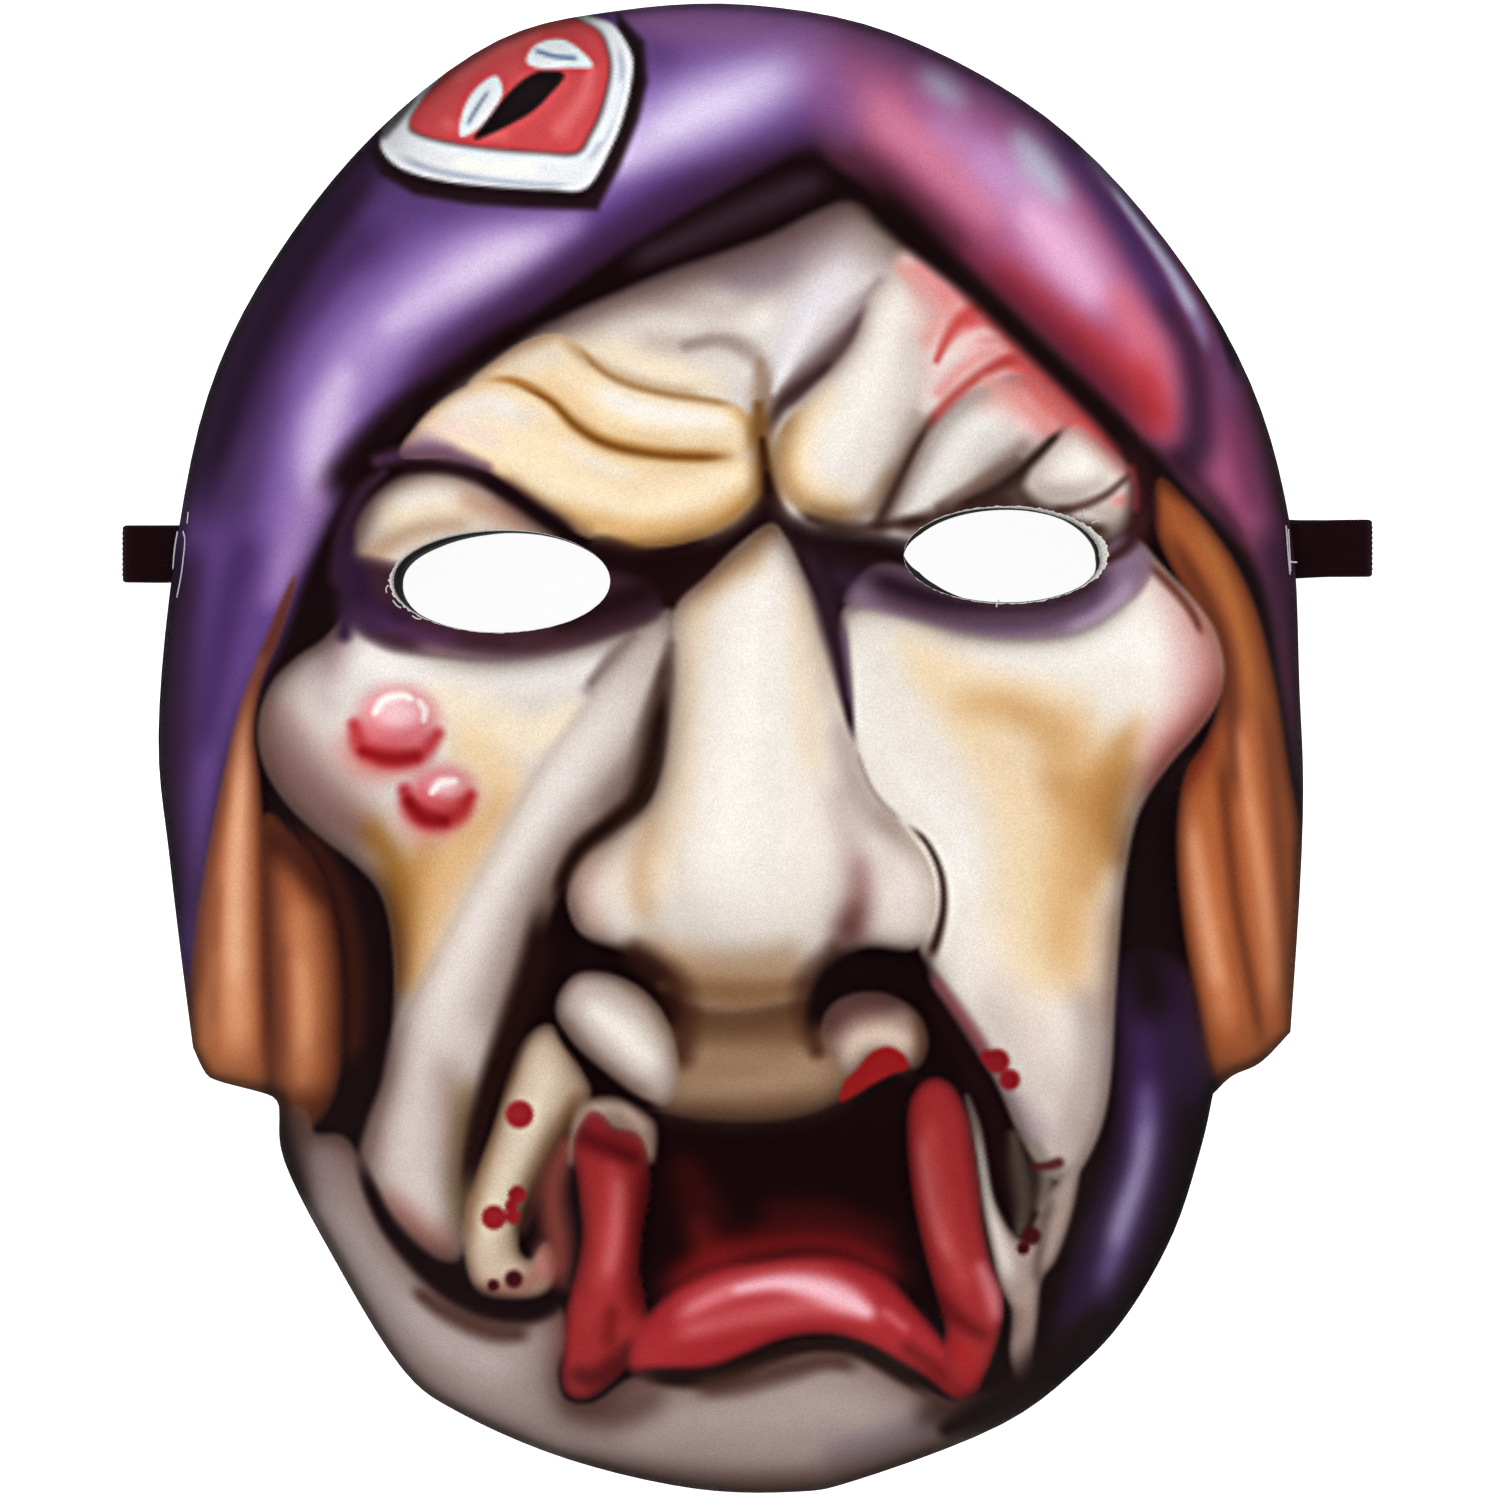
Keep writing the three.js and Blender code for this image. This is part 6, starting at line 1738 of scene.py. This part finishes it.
def add_mesh(name, points, faces, materials):
    """A mesh object in metres, from places in millimetres"""
    mesh = bpy.data.meshes.new(name)
    mesh.from_pydata((np.asarray(points) * MM).tolist(), [], faces)
    mesh.shade_smooth()
    for material in materials:
        mesh.materials.append(material)
    piece = bpy.data.objects.new(name, mesh)
    bpy.context.scene.collection.objects.link(piece)
    return piece


def add_numbers(piece, name, values):
    """Numbers at a piece's points, for its material"""
    layer = piece.data.attributes.new(name, "FLOAT", "POINT")
    layer.data.foreach_set("value", np.asarray(values, np.float32))


def tube(path, radius, sides=6):
    """Points, faces and lengths along a round thread, closed at both ends"""
    path = np.asarray(path, float)
    run = unit(np.gradient(path, axis=0))
    across = unit(np.cross(run, (0, 0, 1)))
    over = np.cross(across, run)
    turn = np.arange(sides) * 2 * math.pi / sides
    ring = np.cos(turn)[None, :, None] * across[:, None] + np.sin(turn)[None, :, None] * over[:, None]
    points = (path[:, None] + radius * ring).reshape(-1, 3)
    faces = [tuple(range(sides))[::-1], tuple(len(points) - sides + k for k in range(sides))]
    for section in range(0, len(points) - sides, sides):
        for k in range(sides):
            after = (k + 1) % sides
            faces.append((section + k, section + after, section + sides + after, section + sides + k))
    return points, faces, np.repeat(lengths_along(path), sides)


def to_linear(colour):
    """The shader's colour values, from those of a picture"""
    colour = np.clip(colour, 0, 1)
    return np.where(colour <= 0.04045, colour / 12.92, ((colour + 0.055) / 1.055) ** 2.4)


def detail_of(picture):
    """How fast the drawing's colours change at each place"""
    change = sum(np.hypot(*np.gradient(picture.colour[..., k])) for k in range(3))
    return blurred(change, DETAIL_REACH / picture.pitch)


def front_places(shell, picture, loops):
    """Places for the printed surface, closer together where the drawing has more detail"""
    places, coarse = lattice(FRONT_PITCH)
    keep = well_inside(places, loops[0], loops[1:], 0.6 * FRONT_PITCH)
    places = places[keep]
    coarse = coarse[keep]
    px, py = shell.in_picture(*places.T, dome_height(*places.T))
    detail = picture.sample_field(detail_of(picture), px, py)
    spare = FRONT_POINTS - np.count_nonzero(coarse)
    limit = np.sort(detail[~coarse])[-spare]
    return places[coarse | (detail > limit)]


def back_places(loops):
    """Even places for the layers behind the printed surface"""
    places = lattice(BACK_PITCH)[0]
    return places[well_inside(places, loops[0], loops[1:], 0.5 * BACK_PITCH)]


# Materials


def new_material(name):
    material = bpy.data.materials.new(name)
    material.use_nodes = True
    return material


def add_node(tree, kind, settings=(), **inputs):
    """Adds a node, with its settings and its inputs by name, as numbers or as other nodes' outputs"""
    node = tree.nodes.new(kind)
    for key, value in dict(settings).items():
        setattr(node, key, value)
    for key, value in inputs.items():
        set_input(tree, node.inputs[key.replace("_", " ")], value)
    return node


def set_input(tree, socket, value):
    if isinstance(value, bpy.types.NodeSocket):
        tree.links.new(value, socket)
    else:
        socket.default_value = value


def maths(tree, operation, *values):
    node = tree.nodes.new("ShaderNodeMath")
    node.operation = operation
    for socket, value in zip(node.inputs, values):
        set_input(tree, socket, value)
    return node.outputs[0]


def mixed(tree, factor, first, second, blend="MIX"):
    """Two colours mixed. Sockets 6 and 7 are the colour ones"""
    node = tree.nodes.new("ShaderNodeMix")
    node.data_type = "RGBA"
    node.blend_type = blend
    set_input(tree, node.inputs[0], factor)
    set_input(tree, node.inputs[6], first)
    set_input(tree, node.inputs[7], second)
    return node.outputs[2]


def ranged(tree, value, low, high, to_low, to_high):
    """A value moved from one range to another, and kept inside it"""
    node = add_node(tree, "ShaderNodeMapRange", Value=value, From_Min=low, From_Max=high)
    node.inputs["To Min"].default_value = to_low
    node.inputs["To Max"].default_value = to_high
    return node.outputs[0]


def millimetres(tree):
    """The place on the piece, in millimetres"""
    place = add_node(tree, "ShaderNodeTexCoord").outputs["Object"]
    scaled = add_node(tree, "ShaderNodeVectorMath", {"operation": "SCALE"}, Scale=1 / MM)
    set_input(tree, scaled.inputs[0], place)
    return scaled.outputs[0]


def noise(tree, place, size, detail=2.0, roughness=0.5):
    """Noise with bumps of about this size in millimetres"""
    inputs = {"Scale": 1 / size, "Detail": detail, "Roughness": roughness}
    return add_node(tree, "ShaderNodeTexNoise", Vector=place, **inputs).outputs["Fac"]


def waves(tree, value, pitch):
    """Waves from -1 to 1, a pitch apart"""
    return maths(tree, "SINE", maths(tree, "MULTIPLY", value, 2 * math.pi / pitch))


def surface(material, **inputs):
    tree = material.node_tree
    shader = tree.nodes["Principled BSDF"]
    for key, value in inputs.items():
        set_input(tree, shader.inputs[key.replace("_", " ")], value)
    return material


def bump(tree, height, depth):
    """A bump of this depth in millimetres"""
    node = add_node(tree, "ShaderNodeBump", Height=height, Distance=depth * MM, Strength=1.0)
    return node.outputs["Normal"]


def attribute(tree, name, output="Color"):
    return add_node(tree, "ShaderNodeAttribute", {"attribute_name": name}).outputs[output]


def weave(tree, place, pitch):
    """Threads over and under each other, from -1 to 1"""
    axes = add_node(tree, "ShaderNodeSeparateXYZ", Vector=place)
    across = waves(tree, axes.outputs[0], pitch)
    along = waves(tree, axes.outputs[1], pitch)
    return maths(tree, "MULTIPLY", across, along)


def printed_cloth():
    """Full-colour print on a fine woven cloth"""
    material = new_material("printed cloth")
    tree = material.node_tree
    place = millimetres(tree)
    threads = weave(tree, place, WEAVE_PITCH)
    grain = noise(tree, place, GRAIN_SIZE, 3.0, 0.6)
    mottle = noise(tree, place, MOTTLE_SIZE, 3.0, 0.6)
    grain_light = ranged(tree, grain, 0.25, 0.75, 0.86, 1.12)
    # the weave makes the raised threads lighter and the gaps between them darker: painted light and shade,
    # over the same weave as the bump
    thread_light = maths(tree, "MULTIPLY", threads, 0.045)
    mottle_light = ranged(tree, mottle, 0.25, 0.75, 0.96, 1.03)
    light = maths(tree, "MULTIPLY", maths(tree, "ADD", grain_light, thread_light), mottle_light)
    colour = mixed(tree, 1.0, attribute(tree, "print"), light, "MULTIPLY")
    relief = maths(tree, "ADD", maths(tree, "MULTIPLY", threads, 0.5), grain)
    return surface(
        material,
        Base_Color=colour,
        Roughness=ranged(tree, grain, 0.2, 0.8, 0.62, 0.8),
        Specular_IOR_Level=0.02,
        Normal=bump(tree, relief, 0.05),
    )


def cut_cloth():
    """The white fibres at a cut edge of the cloth"""
    material = new_material("cut cloth edge")
    tree = material.node_tree
    fibres = noise(tree, millimetres(tree), FIBRE_SIZE, 3.0, 0.7)
    shaded = (0.5, 0.46, 0.43, 1)
    lit = (0.86, 0.84, 0.8, 1)
    return surface(
        material,
        Base_Color=mixed(tree, ranged(tree, fibres, 0.3, 0.7, 0, 1), shaded, lit),
        Roughness=0.9,
        Specular_IOR_Level=0.2,
        Normal=bump(tree, fibres, 0.12),
    )


def black_foam():
    """Fine closed cells, with shade painted darker in their pits and a faint sheen painted lighter where
    the mould pressed them
    """
    material = new_material("black foam")
    tree = material.node_tree
    place = millimetres(tree)
    cells = add_node(tree, "ShaderNodeTexVoronoi", Vector=place, Scale=1 / FOAM_CELL).outputs["Distance"]
    patches = noise(tree, place, FOAM_PATCH, 3.0, 0.55)
    # painted: the pressed patches' lighter colour stands for sheen, and the pores' darker colour for shade
    # in the cells' pits
    dull = (0.010, 0.009, 0.010, 1)
    pressed = (0.022, 0.020, 0.021, 1)
    pore_shade = (0.004, 0.004, 0.004, 1)
    colour = mixed(tree, ranged(tree, patches, 0.3, 0.7, 0, 1), dull, pressed)
    colour = mixed(tree, ranged(tree, cells, 0.0, 0.3, 0.5, 0.0), colour, pore_shade)
    return surface(
        material,
        Base_Color=colour,
        Roughness=ranged(tree, patches, 0.3, 0.7, 0.62, 0.78),
        Specular_IOR_Level=0.08,
        Normal=bump(tree, cells, 0.12),
    )


def black_elastic():
    """Flat woven elastic: fine lengthwise ribs and closer crosswise threads"""
    material = new_material("black elastic")
    tree = material.node_tree
    across = attribute(tree, "across", "Fac")
    along = attribute(tree, "along", "Fac")
    ribs = waves(tree, across, STRAP_WIDTH / (2 * STRAP_RIBS))
    picks = waves(tree, along, PICK_PITCH)
    knit = maths(tree, "ADD", ribs, maths(tree, "MULTIPLY", picks, ribs))
    fuzz = noise(tree, millimetres(tree), FUZZ_SIZE, 3.0, 0.6)
    # painted shade and light: darker in the grooves between the ribs, lighter on the ribs
    shaded_groove = (0.006, 0.0008, 0.0015, 1)
    rib = (0.017, 0.004, 0.006, 1)
    fluff = (0.030, 0.012, 0.015, 1)
    colour = mixed(tree, ranged(tree, knit, -1.5, 2.0, 0, 1), shaded_groove, rib)
    colour = mixed(tree, ranged(tree, fuzz, 0.5, 0.8, 0.0, 0.35), colour, fluff)
    return surface(
        material,
        Base_Color=colour,
        Roughness=ranged(tree, fuzz, 0.3, 0.7, 0.75, 0.9),
        Specular_IOR_Level=0.05,
        Normal=bump(tree, knit, 0.05),
    )


def white_thread():
    """Two-ply sewing thread, with its twist along the stitch"""
    material = new_material("white thread")
    tree = material.node_tree
    twist = waves(tree, attribute(tree, "along", "Fac"), TWIST_PITCH)
    # painted shade and light: darker in the hollow between the plies, lighter on the plies
    shaded_groove = (0.42, 0.38, 0.46, 1)
    ply = (0.78, 0.75, 0.8, 1)
    return surface(
        material,
        Base_Color=mixed(tree, ranged(tree, twist, -1, 1, 0, 1), shaded_groove, ply),
        Roughness=0.7,
        Specular_IOR_Level=0.3,
        Normal=bump(tree, twist, 0.04),
    )


def pale_table():
    """A pale table that glows to nearly white, as a light table for product photographs does"""
    material = new_material("pale table")
    tree = material.node_tree
    speckle = noise(tree, millimetres(tree), TABLE_SPECKLE)
    colour = mixed(tree, speckle, (0.88, 0.88, 0.88, 1), (0.9, 0.9, 0.9, 1))
    return surface(
        material,
        Base_Color=colour,
        Roughness=0.9,
        Specular_IOR_Level=0.0,
        Emission_Color=(1, 1, 1, 1),
        Emission_Strength=TABLE_GLOW,
    )


# Pieces, each on its part of the CAD model


def strap_sections():
    """Places along the strap's middle, with the direction of its width and of its face"""
    middle = rounded(STRAP_ROUTE, steps=STRAP_STEPS)
    run = unit(np.gradient(middle, axis=0))
    width = unit(np.array([0, 1, 0]) - run * run[:, 1:2])
    return middle, width, np.cross(run, width)


def strap_profile():
    """Across the strap: a ribbed upper face, rounded edges and a ribbed lower face"""
    half = STRAP_WIDTH / 2
    count = 4 * STRAP_RIBS
    across = np.linspace(-half, half, count + 1)
    edge = np.sqrt(np.clip(1 - (np.abs(across) / half) ** STRAP_EDGE_POWER, 0, 1))
    ribs = STRAP_RIB_DEPTH * np.cos(2 * np.pi * across / STRAP_WIDTH * STRAP_RIBS)
    height = (STRAP_THICKNESS / 2 - STRAP_RIB_DEPTH + ribs) * edge
    upper = np.stack([across, height], axis=-1)
    lower = np.stack([across, -height], axis=-1)[::-1]
    return np.vstack([upper, lower[1:-1]])


def add_strap(material):
    """The elastic, a closed solid from one sewn end to the other"""
    middle, width, face = strap_sections()
    profile = strap_profile()
    count = len(profile)
    points = middle[:, None] + profile[None, :, :1] * width[:, None] + profile[None, :, 1:] * face[:, None]
    faces = []
    for section in range(len(middle) - 1):
        for k in range(count):
            here = section * count
            after = (k + 1) % count
            faces.append((here + k, here + count + k, here + count + after, here + after))
    last = (len(middle) - 1) * count
    faces.append(tuple(range(count)))
    faces.append(tuple(last + k for k in range(count))[::-1])
    piece = add_mesh("strap", points.reshape(-1, 3), faces, [material])
    add_numbers(piece, "across", np.tile(profile[:, 0], len(middle)))
    add_numbers(piece, "along", np.repeat(lengths_along(middle), count))
    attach(piece, "root")
    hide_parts("elastic_strap")


def add_threads(shell, material):
    """Stitches at the strap's ends and a few loose ends of thread at the cut edges"""
    points = []
    faces = []
    lengths = []
    for thread in THREADS:
        px, py = rounded(thread, steps=4).T
        x, y = shell.under_picture(px, py)
        on_mask = dome_radius(x, y) < 1
        height = np.where(on_mask, shell.front_height(x, y), STRAP_TOP)
        path = np.stack([x, y, height + 0.5 * THREAD_RADIUS], axis=-1)
        new_points, new_faces, along = tube(path, THREAD_RADIUS)
        first = len(lengths)
        points.extend(new_points)
        faces.extend(tuple(first + k for k in face) for face in new_faces)
        lengths.extend(along)
    piece = add_mesh("threads", points, faces, [material])
    add_numbers(piece, "along", lengths)
    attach(piece, "root")
    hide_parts("elastic_strap")


def add_printed_face(shell, picture, top_loops, bottom_loops, print_material, edge_material):
    """The cloth layer: a dense printed front, a plain underside and white cut edges"""
    points, faces = closed_layer(
        top_loops,
        bottom_loops,
        front_places(shell, picture, top_loops),
        back_places(bottom_loops),
        shell.front,
        lambda x, y: shell.below(x, y, CLOTH_THICKNESS),
    )
    piece = add_mesh("printed_face", points, faces, [print_material, edge_material])
    cut_edges = sum(len(loop) for loop in top_loops)
    slots = np.zeros(len(faces), np.int32)
    slots[-cut_edges:] = 1
    piece.data.polygons.foreach_set("material_index", slots)
    px, py = shell.in_picture(*points.T)
    colour = np.ones((len(points), 4), np.float32)
    colour[:, :3] = to_linear(picture.sample(px, py))
    layer = piece.data.color_attributes.new("print", "FLOAT_COLOR", "POINT")
    layer.data.foreach_set("color", colour.ravel())
    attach(piece, "root")
    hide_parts("mask_shell")


def add_foam_shell(shell, front_loops, back_loops, material):
    """The foam under the cloth, with its plain inside"""
    points, faces = closed_layer(
        front_loops,
        back_loops,
        back_places(front_loops),
        back_places(back_loops),
        lambda x, y: shell.below(x, y, CLOTH_THICKNESS + GLUE_GAP),
        shell.back,
    )
    piece = add_mesh("foam_shell", points, faces, [material])
    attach(piece, "root")
    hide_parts("mask_shell")


# Table, lamps and camera


def add_table(material):
    half = TABLE_HALF_SIZE
    corners = [(-half, -half, 0), (half, -half, 0), (half, half, 0), (-half, half, 0)]
    add_mesh("table", corners, [(0, 1, 2, 3)], [material])


def add_light(name, place, size, watts):
    """A round softbox that points at the mask"""
    data = bpy.data.lights.new(name, "AREA")
    data.shape = "DISK"
    data.size = size * MM
    data.energy = watts
    light = bpy.data.objects.new(name, data)
    light.location = Vector(place) * MM
    light.rotation_euler = (Vector(LAMPS_AIM) - Vector(place)).to_track_quat("-Z", "Y").to_euler()
    bpy.context.scene.collection.objects.link(light)


def add_camera():
    """A camera that looks straight down and sees the mask as wide as the photo does"""
    data = bpy.data.cameras.new("camera")
    data.sensor_width = SENSOR_WIDTH
    data.lens = SENSOR_WIDTH * SIGHT_DISTANCE / FRAME_WIDTH
    camera = bpy.data.objects.new("camera", data)
    camera.location = Vector(CAMERA_PLACE) * MM
    bpy.context.scene.collection.objects.link(camera)
    bpy.context.scene.camera = camera


def add_studio():
    """An even bright sky, a softbox at the upper left and a weaker fill at the right"""
    world = bpy.data.worlds.new("studio")
    world.use_nodes = True
    background = world.node_tree.nodes["Background"]
    background.inputs["Color"].default_value = (1, 1, 1, 1)
    background.inputs["Strength"].default_value = SKY
    bpy.context.scene.world = world
    bpy.context.scene.view_settings.view_transform = "Standard"
    for name, (place, size, watts) in LAMPS.items():
        add_light(name, place, size, watts)


# The mask on its table
add_camera()
add_strap(black_elastic())
picture = make_picture()
shell = Shell(picture)
rim = outline_loop(OUTLINE_PITCH)
print_cut, cloth_cut, foam_cut, back_cut = zip(*(eye_loops(shell, eye, EYE_PITCH) for eye in EYES.values()))
add_printed_face(shell, picture, [rim, *print_cut], [rim, *cloth_cut], printed_cloth(), cut_cloth())
add_foam_shell(shell, [rim, *foam_cut], [rim, *back_cut], black_foam())
add_threads(shell, white_thread())
add_table(pale_table())
add_studio()
